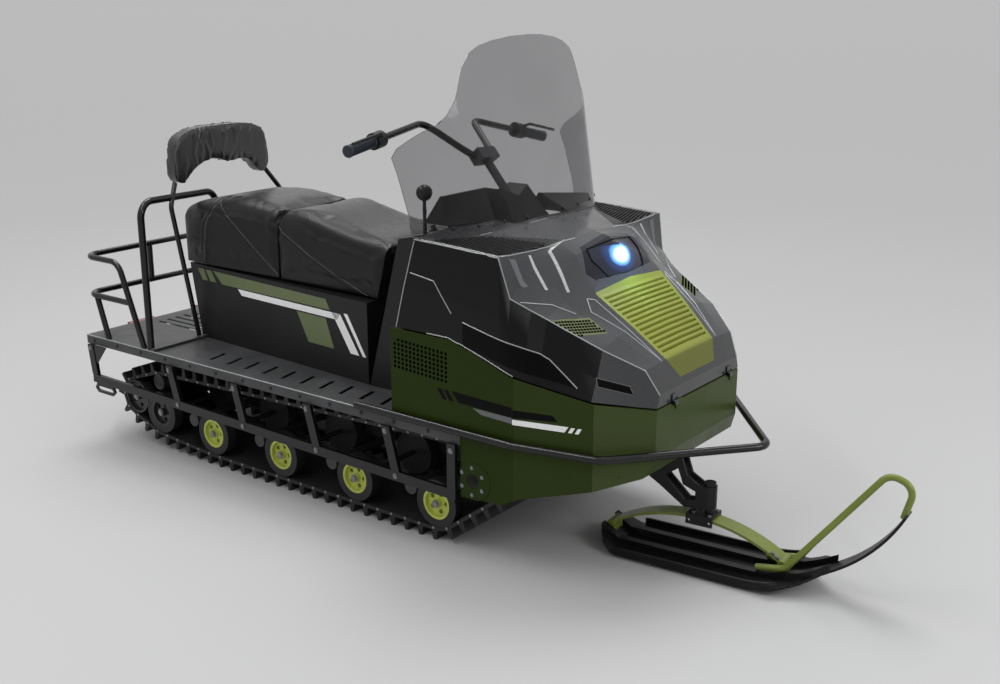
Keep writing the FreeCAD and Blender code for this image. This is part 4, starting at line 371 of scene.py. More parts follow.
def detail_hood(hood):
    """The hood's upright sides are black, and the rest is grey under a thin gloss coat."""
    side = hood.spread(hood.sums("ABSOLUTE", hood.facing(1)), 0.76, 0.88)
    hood.cover((0.0028, 0.0028, 0.0032), side)
    coat = hood.sums("MULTIPLY", hood.sums("SUBTRACT", 1.0, side), 0.4)
    hood.join(coat, hood.shader.inputs["Coat Weight"])


def pan_painted_front_light(pan):
    """Painted highlight: the pan is painted paler where it turns to the front, for the light that falls on
    its front faces.
    """
    # painted highlight, chosen by how far each face turns to the front
    pan.cover((0.046, 0.064, 0.020), pan.spread(pan.facing(0), 0.05, 0.62))


def detail_grille(grille):
    """The strip at the grille's foot is darker."""
    grille.cover((0.098, 0.108, 0.004), grille.spread(grille.along_axis(0), 0.848, 0.860))


def rims_painted_shade(rims):
    """Painted shade: the rims behind the last ground wheel are painted dark, for the shadow they sit in."""
    # painted shade on the rear rims, chosen by their place along the machine
    rims.cover((0.018, 0.018, 0.018), rims.spread(rims.along_axis(0), -0.96, -1.02))


def detail_dotted(film):
    """Pale dots in the hood's stripes."""
    film.cover((0.42, 0.425, 0.43), film.spread(film.cells(260), 0.25, 0.4))


def detail_deck(deck):
    """Raised dots, and grey scuffs where feet stand."""
    deck.bump(deck.spread(deck.cells(150), 0.1, 0.45, 1.0, 0.0), 0.0006, 0.5)
    deck.cover((0.075, 0.076, 0.08), deck.spread(deck.noise(5, detail=6), 0.48, 0.7), 0.5)


def detail_track(rubber):
    """Dried dirt on a coarse surface."""
    rubber.cover((0.03, 0.029, 0.027), rubber.spread(rubber.noise(16, detail=7), 0.5, 0.75), 0.45)
    rubber.bump(rubber.noise(45, detail=5), 0.0012, 0.5)


def detail_ski(ski):
    """Scratches along the ski."""
    scratches = ski.noise(60, detail=6, rough=0.7, along=ski.stretched((0.08, 2.2, 2.2)))
    ski.cover((0.055, 0.055, 0.058), ski.spread(scratches, 0.56, 0.68), 0.6)
    ski.bump(scratches, 0.0004, 0.4)


def leatherette(name, colour, roughness, specular, creases):
    """Grained seat cover with faint creases."""
    vinyl = Finish(name, colour, roughness, specular=specular)
    vinyl.shade(3.2, 3, 0.86, 1.14)
    shine = vinyl.noise(5, detail=4, warp=0.8)
    vinyl.gloss(vinyl.spread(shine, 0.3, 0.7, roughness - 0.03, roughness + 0.05))
    vinyl.bump(vinyl.spread(vinyl.cells(640, feature="DISTANCE_TO_EDGE"), 0.0, 0.25), 0.00022, 0.4)
    vinyl.bump(vinyl.noise(19, detail=3, warp=1.2), creases, 0.28)
    return vinyl


def bare_steel():
    """Steel rubbed along its length."""
    steel = Finish("bare_steel", (0.42, 0.42, 0.43), 0.32, metallic=1.0)
    steel.shade(9, 6, 0.7, 1.05)
    steel.smudges(18, 0.1)
    steel.bump(steel.noise(300, along=steel.stretched((0.15, 1, 1))), 0.0002, 0.4)
    return steel


def bolt_steel():
    """Dull plated bolts and nuts."""
    bolt = Finish("bolt_steel", (0.30, 0.30, 0.31), 0.36, metallic=1.0)
    bolt.shade(50, 4, 0.6, 1.1)
    bolt.smudges(60, 0.1)
    bolt.bump(bolt.noise(900), 0.0002, 0.5)
    return bolt


def lamp_red():
    """Fluted red plastic."""
    red = Finish("lamp_red", (0.32, 0.006, 0.006), 0.12, specular=0.6, coat=0.8)
    red.shade(12, 4, 0.85, 1.1)
    red.bump(red.flutes(900.0), 0.0012, 0.6)
    red.gloss(red.spread(red.noise(40), 0.3, 0.7, 0.08, 0.2))
    return red


# The headlamp's bulb, how its glow is squeezed along each axis, and the glow's reach and colours
BULB_PLACE = (0.612, -0.002, 0.922)
GLOW_SQUEEZE = (0.6, 0.62, 1.0)
GLOW_REACH = 0.1
GLOW_STOPS = ((0.16, (0.85, 0.95, 1.0)), (0.25, (0.12, 0.34, 0.85)), (0.36, (0.006, 0.02, 0.08)),
              (0.55, (0.0004, 0.0016, 0.007)))


def lamp_lens():
    """Dark blue lens that glows white and blue round its bulb."""
    lens = Finish("lamp_lens", (0.0008, 0.0022, 0.006), 0.08, specular=0.35, coat=0.3, coat_roughness=0.04)
    lens.shade(30, 2, 0.8, 1.2)
    span = lens.add("ShaderNodeVectorMath", {1: BULB_PLACE}, operation="SUBTRACT")
    squeezed = lens.add("ShaderNodeVectorMath", {1: GLOW_SQUEEZE}, operation="MULTIPLY")
    away = lens.add("ShaderNodeVectorMath", operation="LENGTH")
    lens.join(lens.place, span.inputs[0])
    lens.join(span.outputs[0], squeezed.inputs[0])
    lens.join(squeezed.outputs[0], away.inputs[0])
    ramp = lens.add("ShaderNodeValToRGB")
    lens.join(lens.spread(away.outputs["Value"], 0.0, GLOW_REACH), ramp.inputs[0])
    stops = ramp.color_ramp.elements
    stops[0].color = (1.0, 1.0, 1.0, 1.0)
    stops[1].color = (0.0, 0.0, 0.0, 1.0)
    for at, colour in GLOW_STOPS:
        stops.new(at).color = (*colour, 1.0)
    lens.join(ramp.outputs[0], lens.shader.inputs["Emission Color"])
    lens.shader.inputs["Emission Strength"].default_value = 2.6
    lens.bump(lens.flutes(700.0), 0.0006, 0.35)
    return lens


def smoked_screen():
    """Thin smoked sheet that lets light through, with faint wipe marks and darker edges."""
    sheet = Finish("smoked_screen", (0.50, 0.50, 0.51), 0.03, specular=0.5)
    sheet.shader.inputs["Transmission Weight"].default_value = 1.0
    sheet.shader.inputs["IOR"].default_value = 1.25
    sheet.gloss(sheet.spread(sheet.noise(9, detail=7, rough=0.7, warp=1.5), 0.3, 0.75, 0.015, 0.075))
    sheet.shade(2.2, 2, 0.93, 1.05)
    sheet.cover((0.10, 0.10, 0.105), sheet.edges(0.003, 0.2, 0.5))
    clear = sheet.add("ShaderNodeBsdfTransparent", {0: (0.72, 0.72, 0.73, 1.0)})
    path = sheet.add("ShaderNodeLightPath")
    mix = sheet.add("ShaderNodeMixShader")
    sheet.join(path.outputs["Is Shadow Ray"], mix.inputs[0])
    sheet.join(sheet.shader.outputs[0], mix.inputs[1])
    sheet.join(clear.outputs[0], mix.inputs[2])
    sheet.join(mix.outputs[0], sheet.tree.nodes["Material Output"].inputs["Surface"])
    return sheet


def make_finishes():
    """Every finish by the name that the pieces ask for."""
    looks = {name: painted(name, colour, roughness, **extra)
             for name, (colour, roughness, extra) in PAINTS.items()}
    details = {"hood_paint": detail_hood, "pan_green": pan_painted_front_light, "grille_olive": detail_grille,
               "rim_olive": rims_painted_shade, "decal_mesh": detail_dotted, "deck_coat": detail_deck,
               "track_rubber": detail_track, "ski_plastic": detail_ski}
    for name, detail in details.items():
        detail(looks[name])
    looks["seat_vinyl"] = leatherette("seat_vinyl", (0.0065, 0.0065, 0.007), 0.25, 0.28, 0.0008)
    looks["pad_vinyl"] = leatherette("pad_vinyl", (0.011, 0.011, 0.0115), 0.27, 0.8, 0.0014)
    for make in (bare_steel, bolt_steel, lamp_red, lamp_lens, smoked_screen):
        looks[make.__name__] = make()
    return looks


NODE_FINISHES = {
    "tube_black": ("side_guard_right", "side_guard_left", "cargo_rack", "passenger_handle", "bumper",
                   "backrest_posts", "handlebar", "tow_hitch", "gear_lever"),
    "dark_steel": ("centre_beam", "drive_axle", "bogie_arms_right", "bogie_arms_left", "steering_column"),
    "moulded_black": ("seat_box", "console", "instrument_pod", "cowl", "switch_housings", "ski_fork",
                      "kingpin_housing"),
    "track_rubber": ("track_right", "track_left"),
    "tyre_rubber": ("wheel_tyres_right", "wheel_tyres_left"),
    "rim_olive": ("wheel_rims_right", "wheel_rims_left"),
    "olive_steel": ("leaf_spring", "ski_handle"),
    "deck_coat": ("deck",),
    "pan_green": ("nose_pan",),
    "hood_paint": ("hood",),
    "grille_olive": ("hood_grille",),
    "mesh_olive": ("hood_vents",),
    "lamp_lens": ("headlamp",),
    "smoked_screen": ("windscreen",),
    "grip_rubber": ("grips",),
    "ski_plastic": ("ski_blade",),
    "bare_steel": ("ski_runner",),
    "engine_metal": ("engine_block",),
    "lamp_red": ("rear_lamps",)}


def dress_nodes():
    """Gives the CAD nodes that the scene keeps their finishes."""
    for finish, names in NODE_FINISHES.items():
        for name in names:
            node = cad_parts[name]
            if not node.material_slots:
                node.data.materials.append(None)
            for slot in node.material_slots:
                slot.link = "OBJECT"
                slot.material = LOOKS[finish].material


# Shared making

def settle(name, mesh, finish, body, smooth=False):
    """A finished mesh as a piece on a body."""
    piece = placed(name, mesh)
    mesh.materials.clear()
    mesh.materials.append(LOOKS[finish].material)
    for face in mesh.polygons:
        face.use_smooth = smooth
    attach(piece, body)
    return piece


def plain_mesh(maker, name):
    """The evaluated mesh of a throwaway object, which is then removed."""
    bpy.context.view_layer.update()
    graph = bpy.context.evaluated_depsgraph_get()
    mesh = bpy.data.meshes.new_from_object(maker.evaluated_get(graph), depsgraph=graph)
    mesh.name = name
    bpy.data.objects.remove(maker)
    return mesh


def search_tree(mesh):
    return BVHTree.FromPolygons([v.co for v in mesh.vertices], [tuple(p.vertices) for p in mesh.polygons])


TREES = {}


def surface_of(node):
    """The search tree of a CAD node's surface, made once."""
    if node not in TREES:
        TREES[node] = search_tree(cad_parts[node].data)
    return TREES[node]


def merged_copy(node):
    """A CAD node's mesh as one connected shape."""
    shape = bmesh.new()
    shape.from_mesh(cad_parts[node].data)
    bmesh.ops.remove_doubles(shape, verts=shape.verts, dist=MERGE_DISTANCE)
    return shape


def as_mesh(shape, name):
    """The finished shape as a mesh."""
    mesh = bpy.data.meshes.new(name)
    shape.to_mesh(mesh)
    shape.free()
    return mesh


def struck(node, start, direction):
    """Where a line from a point in millimetres first meets a node, and the way the surface faces there."""
    point, facing, _, _ = surface_of(node).ray_cast(Vector(start) * MM, Vector(direction).normalized())
    if point is not None and facing.dot(Vector(direction)) > 0:
        facing = -facing
    return point, facing


def flipped(points):
    """A route or outline mirrored to the other side."""
    return [(x, -y, z) for x, y, z in points]


def patch(name, node, outline, pressed, finish, body, lift=0.6, depth=45):
    """A thin film on a node: a convex outline in millimetres is swept along the pressing direction and
    the surface that it meets is lifted off as its own sheet."""
    press = Vector(pressed).normalized()
    corners = [Vector(p) * MM for p in outline]
    centre = sum(corners, Vector()) / len(corners)
    shape = merged_copy(node)
    near = min(p.dot(press) for p in corners) - depth * MM
    far = max(p.dot(press) for p in corners) + depth * MM
    unused = [f for f in shape.faces if f.normal.dot(press) > -0.05]
    bmesh.ops.delete(shape, geom=unused, context="FACES")
    for first, second in zip(corners, corners[1:] + corners[:1]):
        out = (second - first).cross(press)
        if (centre - first).dot(out) > 0:
            out = -out
        everything = shape.verts[:] + shape.edges[:] + shape.faces[:]
        bmesh.ops.bisect_plane(shape, geom=everything, plane_co=first, plane_no=out, clear_outer=True)
    unused = [f for f in shape.faces if not near < f.calc_center_median().dot(press) < far]
    bmesh.ops.delete(shape, geom=unused, context="FACES")
    bmesh.ops.translate(shape, verts=shape.verts, vec=-press * lift * MM)
    piece = settle(name, as_mesh(shape, name), finish, body)
    wall = piece.modifiers.new("wall", "SOLIDIFY")
    wall.thickness = FILM_THICKNESS * MM
    wall.offset = -1
    return piece


def both_sides(name, node, outlines, pressed, finish, body, lift=0.6):
    """Films for several outlines on the right side and mirrored on the left, as one piece."""
    mirrored = (pressed[0], -pressed[1], pressed[2])
    films = []
    for outline in outlines:
        films.append(patch("film", node, outline, pressed, finish, body, lift))
        films.append(patch("film", node, flipped(outline), mirrored, finish, body, lift))
    shape = bmesh.new()
    graph = bpy.context.evaluated_depsgraph_get()
    for film in films:
        shape.from_object(film, graph)
    mesh = as_mesh(shape, name)
    for film in films:
        bpy.data.objects.remove(film)
    return settle(name, mesh, finish, body)


def piping(name, node, routes, radius, finish, body, spacing=8, reach=40):
    """Thin round lines that lie on a node's outer surface along routes in millimetres."""
    curve = bpy.data.curves.new(name, "CURVE")
    curve.dimensions = "3D"
    curve.bevel_depth = radius * MM
    curve.bevel_resolution = 1
    middle = sum((Vector(c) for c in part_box(node)), Vector()) / 2
    tree = surface_of(node)
    for route in routes:
        points = []
        for first, second in zip(route[:-1], route[1:]):
            a, b = Vector(first) * MM, Vector(second) * MM
            ways = [tree.find_nearest(end)[1] for end in (a, b)]
            ways = [-w if w.dot(end - middle) < 0 else w for w, end in zip(ways, (a, b))]
            steps = max(1, int((b - a).length / (spacing * MM)))
            points += [(a.lerp(b, k / steps), ways[0].lerp(ways[1], k / steps).normalized())
                       for k in range(steps + 1)]
        spline = curve.splines.new("POLY")
        spline.points.add(len(points) - 1)
        for point, (at, out) in zip(spline.points, points):
            spot = tree.ray_cast(at + out * reach * MM, -out, 2 * reach * MM)[0] or tree.find_nearest(at)[0]
            point.co = (*spot, 1.0)
    return settle(name, plain_mesh(placed(name, curve), name), finish, body, smooth=True)


def lathe(name, profile, origin, axis, finish, body, slot):
    """A turned piece: (radius, height) pairs in millimetres about an axis."""
    turns = LATHE_SIDES
    way = Vector(axis).normalized()
    side = way.orthogonal().normalized()
    other = way.cross(side)
    points = []
    faces = []
    for radius, height in profile:
        for k in range(turns):
            angle = 2 * math.pi * k / turns
            spoke = side * math.cos(angle) + other * math.sin(angle)
            points.append((Vector(origin) + way * height + spoke * radius) * MM)
    for row in range(len(profile) - 1):
        for k in range(turns):
            a = row * turns + k
            b = row * turns + (k + 1) % turns
            faces.append((a, b, b + turns, a + turns))
    last = (len(profile) - 1) * turns
    faces.append(tuple(range(turns - 1, -1, -1)))
    faces.append(tuple(last + k for k in range(turns)))
    mesh = bpy.data.meshes.new(name)
    mesh.from_pydata(points, [], faces)
    return settle(name, mesh, finish, body, smooth=True)


# Repeated small parts

STUD_SHAPES = {"dome": (12, 6), "stitch": (6, 4)}
DISC_SIDES = {"bolt": 6, "ring": 24, "washer": 16}
WASHER_SHARE = 1.45


def scaled(tree, geometry, sizes, share=1.0):
    """Geometry scaled by the tree's length, width and height, with the first two times a share."""
    scale = tree.nodes.new("ShaderNodeCombineXYZ")
    for number, socket in enumerate(sizes):
        if share == 1.0 or number == 2:
            tree.links.new(socket, scale.inputs[number])
        else:
            grow = tree.nodes.new("ShaderNodeMath")
            grow.operation = "MULTIPLY"
            tree.links.new(socket, grow.inputs[0])
            grow.inputs[1].default_value = share
            tree.links.new(grow.outputs[0], scale.inputs[number])
    change = tree.nodes.new("GeometryNodeTransform")
    tree.links.new(geometry, change.inputs["Geometry"])
    tree.links.new(scale.outputs[0], change.inputs["Scale"])
    return change.outputs[0]


def disc(tree, kind, depth):
    """A flat cylinder, one across."""
    node = tree.nodes.new("GeometryNodeMeshCylinder")
    node.inputs["Vertices"].default_value = DISC_SIDES[kind]
    node.inputs["Radius"].default_value = 0.5
    node.inputs["Depth"].default_value = depth
    return node.outputs["Mesh"]


def stud_geometry(tree, kind, sizes):
    """One small part that points along +Z: a peg, dome, stitch, ring, or a bolt head on its washer."""
    if kind == "peg":
        return scaled(tree, tree.nodes.new("GeometryNodeMeshCube").outputs["Mesh"], sizes)
    if kind in STUD_SHAPES:
        ball = tree.nodes.new("GeometryNodeMeshUVSphere")
        ball.inputs["Segments"].default_value, ball.inputs["Rings"].default_value = STUD_SHAPES[kind]
        ball.inputs["Radius"].default_value = 0.5
        return scaled(tree, ball.outputs["Mesh"], sizes)
    head = scaled(tree, disc(tree, kind, 1.0), sizes)
    if kind == "ring":
        return head
    both = tree.nodes.new("GeometryNodeJoinGeometry")
    tree.links.new(head, both.inputs[0])
    tree.links.new(scaled(tree, disc(tree, "washer", 0.4), sizes, WASHER_SHARE), both.inputs[0])
    return both.outputs[0]


def stud_tree(kind, finish):
    """Geometry Nodes that put one small part on every vertex, turned to the stored directions."""
    tree = bpy.data.node_groups.new(kind + "_row", "GeometryNodeTree")
    tree.interface.new_socket("Places", in_out="INPUT", socket_type="NodeSocketGeometry")
    for name in ("Length", "Width", "Height"):
        tree.interface.new_socket(name, in_out="INPUT", socket_type="NodeSocketFloat")
    tree.interface.new_socket("Parts", in_out="OUTPUT", socket_type="NodeSocketGeometry")
    entry = tree.nodes.new("NodeGroupInput")
    last = tree.nodes.new("NodeGroupOutput")
    part = stud_geometry(tree, kind, entry.outputs[1:4])
    turn = None
    for name, axis, pivot in (("out", "Z", "AUTO"), ("along", "X", "Z")):
        read = tree.nodes.new("GeometryNodeInputNamedAttribute")
        read.data_type = "FLOAT_VECTOR"
        read.inputs["Name"].default_value = name
        align = tree.nodes.new("FunctionNodeAlignRotationToVector")
        align.axis = axis
        align.pivot_axis = pivot
        if turn is not None:
            tree.links.new(turn, align.inputs["Rotation"])
        tree.links.new(read.outputs["Attribute"], align.inputs["Vector"])
        turn = align.outputs["Rotation"]
    spots = tree.nodes.new("GeometryNodeInstanceOnPoints")
    tree.links.new(entry.outputs[0], spots.inputs["Points"])
    tree.links.new(part, spots.inputs["Instance"])
    tree.links.new(turn, spots.inputs["Rotation"])
    real = tree.nodes.new("GeometryNodeRealizeInstances")
    tree.links.new(spots.outputs[0], real.inputs[0])
    coat = tree.nodes.new("GeometryNodeSetMaterial")
    coat.inputs["Material"].default_value = LOOKS[finish].material
    tree.links.new(real.outputs[0], coat.inputs["Geometry"])
    tree.links.new(coat.outputs[0], last.inputs[0])
    return tree


def studs(name, places, kind, size, finish, body, slot):
    """Small parts of one size in millimetres at (point, out, along) places in metres. A place that a line
    missed has no point and is left out."""
    places = [p for p in places if p[0] is not None]
    host = bpy.data.meshes.new(name)
    host.from_pydata([p[0] for p in places], [], [])
    for key, column in (("out", 1), ("along", 2)):
        stored = host.attributes.new(key, "FLOAT_VECTOR", "POINT")
        stored.data.foreach_set("vector", [c for p in places for c in p[column]])
    maker = placed(name, host)
    tree = stud_tree(kind, finish)
    modifier = maker.modifiers.new("parts", "NODES")
    modifier.node_group = tree
    inputs = [s for s in tree.interface.items_tree
              if s.in_out == "INPUT" and s.socket_type == "NodeSocketFloat"]
    for socket, value in zip(inputs, size):
        modifier[socket.identifier] = value * MM
    return settle(name, plain_mesh(maker, name), finish, body, smooth=kind in STUD_SHAPES)


def shot(node, start, direction, sink, along=(1, 0, 0)):
    """A place for a small part where a line meets a node, sunk in by some millimetres."""
    point, facing = struck(node, start, direction)
    if point is None:
        return (None, None, None)
    return (point - facing * sink * MM, facing, Vector(along))


def shots_from_right(node, places, sink):
    """Places on a node's right side, at each (x, z)."""
    return [shot(node, (x, OUTSIDE, z), FROM_RIGHT, sink) for x, z in places]


def with_mirror(places):
    """The places on the right and their mirror places on the left."""
    return places + [(Vector((p.x, -p.y, p.z)), Vector((o.x, -o.y, o.z)), Vector((a[0], -a[1], a[2])))
                     for p, o, a in places if p is not None]


# Upholstery

def near_route(points, route):
    """Each point's distance in millimetres to the nearest run of a route."""
    best = np.full(len(points), 1e9)
    for first, second in zip(route[:-1], route[1:]):
        a = np.array(first, float)
        run = np.array(second, float) - a
        share = np.clip(((points - a) @ run) / (run @ run), 0, 1)
        best = np.minimum(best, np.linalg.norm(points - (a + share[:, None] * run), axis=1))
    return best


def rows_of(mesh, kind):
    """Every vertex's place ("co") or normal ("normal"), one row each."""
    flat = np.empty(len(mesh.vertices) * 3, np.float32)
    mesh.vertices.foreach_get(kind, flat)
    return flat.reshape(-1, 3).astype(float)


def store(mesh, points):
    mesh.vertices.foreach_set("co", points.astype(np.float32).ravel())
    mesh.update()


STUFFING_FRAMES = 20
STUFFING_PRESSURE = 4.0

# The low welt beside each seam, as shares of the seam's depth and width
WELT_HEIGHT = 0.45
WELT_AWAY = 2.4
WELT_WIDTH = 1.5


def swollen(maker, cap):
    """Blows the cloth up a little from inside and holds every point within the cap."""
    start = rows_of(maker.data, "co")
    cloth = maker.modifiers.new("stuffing", "CLOTH")
    cloth.settings.use_pressure = True
    cloth.settings.uniform_pressure_force = STUFFING_PRESSURE
    cloth.settings.effector_weights.gravity = 0.0
    cloth.settings.quality = 4
    cloth.settings.tension_stiffness = 12
    cloth.settings.bending_stiffness = 0.6
    cloth.point_cache.frame_start = 1
    cloth.point_cache.frame_end = STUFFING_FRAMES
    scene = bpy.context.scene
    for number in range(1, STUFFING_FRAMES + 1):
        scene.frame_set(number)
    graph = bpy.context.evaluated_depsgraph_get()
    end = rows_of(maker.evaluated_get(graph).data, "co")
    scene.frame_set(1)
    maker.modifiers.remove(cloth)
    move = end - start
    length = np.linalg.norm(move, axis=1, keepdims=True)
    move *= np.minimum(1.0, cap * MM / np.maximum(length, 1e-9))
    store(maker.data, start + move)


def upholster(name, node, finish, seams, folds, voxel=9, cap=5, shrink=3.5, reshape=None):
    """A cushion in its CAD solid's place: remeshed at a voxel size, shrunk, stuffed up to a cap, smoothed,
    then seamed and creased. Each seam is a route with its depth and width in millimetres."""
    maker = placed(name, as_mesh(merged_copy(node), name))
    grid = maker.modifiers.new("grid", "REMESH")
    grid.mode = "VOXEL"
    grid.voxel_size = voxel * MM
    even = plain_mesh(maker, name)
    store(even, rows_of(even, "co") - rows_of(even, "normal") * shrink * MM)
    maker = placed(name, even)
    swollen(maker, cap)
    soft = maker.modifiers.new("soft", "SUBSURF")
    soft.levels = soft.render_levels = 1
    fine = plain_mesh(maker, name)
    normals = rows_of(fine, "normal")
    points = rows_of(fine, "co") / MM
    rise = np.zeros(len(points))
    for route, depth, width in seams:
        away = near_route(points, route)
        rise -= depth * np.exp(-(away / width) ** 2)
        rise += WELT_HEIGHT * depth * np.exp(-((away - WELT_AWAY * width) / (WELT_WIDTH * width)) ** 2)
    rise += folds(points, normals)
    points += normals * rise[:, None]
    store(fine, (reshape(points) if reshape else points) * MM)
    piece = settle(name, fine, finish, "chassis", smooth=True)
    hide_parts(node)
    return piece


def stitched(name, piece, routes, spacing=7.0):
    """Thread stitches laid on a cushion along its seams."""
    tree = search_tree(piece.data)
    places = []
    for route in routes:
        for first, second in zip(route[:-1], route[1:]):
            a, b = Vector(first), Vector(second)
            count = max(1, int((b - a).length / spacing))
            for k in range(count):
                spot, facing, _, _ = tree.find_nearest(a.lerp(b, (k + 0.5) / count) * MM)
                places.append((spot + facing * 0.2 * MM, facing, (b - a).normalized()))
    return studs(name, places, "stitch", (5.2, 1.5, 1.3), "thread", "chassis", "seat_cover")


# Seams on the right side. The band starts on the centre line and is carried over to the left.
RIGHT_BAND = [(-1030, 0, 954), (-1024, -100, 953), (-1016, -165, 948), (-1029, -196, 922), (-1068, -204, 850),
              (-1097, -203, 705)]
REAR_BAND = flipped(RIGHT_BAND[:0:-1]) + RIGHT_BAND
REAR_SLASH = [(-1016, -165, 948), (-985, -196, 928), (-958, -204, 909), (-824, -206, 810), (-695, -204, 712)]
FRONT_SLASH = [(-680, -200, 890), (-654, -204, 871), (-522, -205, 803), (-404, -205, 753), (-262, -206, 697)]
NOTCH = [(-684, -168, 934), (-699, -196, 902), (-684, -206, 868)]
RIGHT_PAD_SEAM = [(-1180, -222, 1012), (-1180, -228, 1110), (-1180, -196, 1184), (-1180, -120, 1198),
                  (-1180, 0, 1200)]
PAD_SEAM = RIGHT_PAD_SEAM + flipped(RIGHT_PAD_SEAM[-2::-1])
CUSHION_JOINT = -690
JOINT_GAP = 3.4
NOTCH_FOOT = 866
NOSE_START = -340
NOSE_LENGTH = 134
NOSE_LEAN = 50
SEAT_FOOT = 735
PAD_TOP = 1200
PAD_FOOT = 1035


def closed_up(points, way):
    """Closes the side of a cushion up against its neighbour, below the notch."""
    x, y, z = points.T
    side = np.clip((np.abs(y) - 120) / 60, 0, 1) * np.clip((NOTCH_FOOT - z) / 20, 0, 1)
    near = np.clip(1 - np.abs(x - CUSHION_JOINT) / 40, 0, 1)
    moved = points.copy()
    moved[:, 0] += way * JOINT_GAP * side * near
    return moved


def rear_shape(points):
    return closed_up(points, 1)


def front_shape(points):
    """The front cushion's nose leans forward against the console."""
    moved = closed_up(points, -1)
    x, y, z = points.T
    lean = np.clip((x - NOSE_START) / NOSE_LENGTH, 0, 1) ** 1.5 * np.clip((z - 700) / 180, 0, 1)
    moved[:, 0] += NOSE_LEAN * lean
    return moved


def pad_folds(points, normals):
    """Gathers that run down the pad's faces from its top seam, and from its lower edge up."""
    rise = np.zeros(len(points))
    rng = np.random.default_rng(7)
    y = points[:, 1]
    z = points[:, 2]
    flat = np.abs(normals[:, 0])
    for k in range(22):
        centre = rng.uniform(-200, 200)
        lean = rng.uniform(-0.35, 0.35) + centre * 0.0012
        width = rng.uniform(5, 11)
        depth = rng.uniform(2.0, 5.0)
        from_top = k % 3 != 0
        reach = rng.uniform(45, 130) if from_top else rng.uniform(30, 70)
        drop = (PAD_TOP - z) if from_top else (z - (PAD_FOOT + 10 * np.cos(y / 60)))
        away = y - (centre + lean * drop + 5 * np.sin(drop / 17 + k))
        fade = np.exp(-(np.maximum(drop, 0) / reach) ** 2)
        rise += depth * np.exp(-(away / width) ** 2) * fade
        rise -= 0.7 * depth * np.exp(-((away - 1.7 * width) / width) ** 2) * fade
    return rise * np.clip(flat * 1.6 - 0.2, 0, 1)


def seat_folds(points, normals):
    """Slow swells in the cover, with short pulls near its lower edge."""
    x, y, z = points.T
    swell = 0.35 * np.sin(x / 118 + 0.8 * np.sin(y / 90)) * np.cos(y / 95)
    pulls = 0.4 * np.sin((x * 0.6 + z) / 13 + 2 * np.sin(x / 57)) * np.exp(-((z - SEAT_FOOT) / 26) ** 2)
    return swell * np.clip(normals[:, 2], 0, 1) + pulls


def make_upholstery():
    """The two seat cushions and the backrest pad, each with its thread."""
    notches = [(NOTCH, 9, 11), (flipped(NOTCH), 9, 11)]
    slashes = [REAR_SLASH, flipped(REAR_SLASH)]
    front_slashes = [FRONT_SLASH, flipped(FRONT_SLASH)]
    rear_seams = [(REAR_BAND, 2.6, 4.5)] + [(route, 2.4, 4.5) for route in slashes] + notches
    front_seams = [(route, 2.4, 4.5) for route in front_slashes] + notches
    rear = upholster("rear_cushion", "seat_rear", "seat_vinyl", rear_seams, seat_folds,
                     reshape=rear_shape)
    front = upholster("front_cushion", "seat_front", "seat_vinyl", front_seams, seat_folds,
                      reshape=front_shape)
    pad = upholster("back_pad", "backrest_pad", "pad_vinyl", [(PAD_SEAM, 2.2, 4.0)], pad_folds,
                    voxel=6, cap=8, shrink=5)
    stitched("rear_cushion_thread", rear, [REAR_BAND] + slashes)
    stitched("front_cushion_thread", front, front_slashes)
    stitched("back_pad_thread", pad, [PAD_SEAM])


# Colours on the body

RECESS = [(754, -356, 645), (829, -296, 619), (841, -294, 594), (762, -360, 621)]


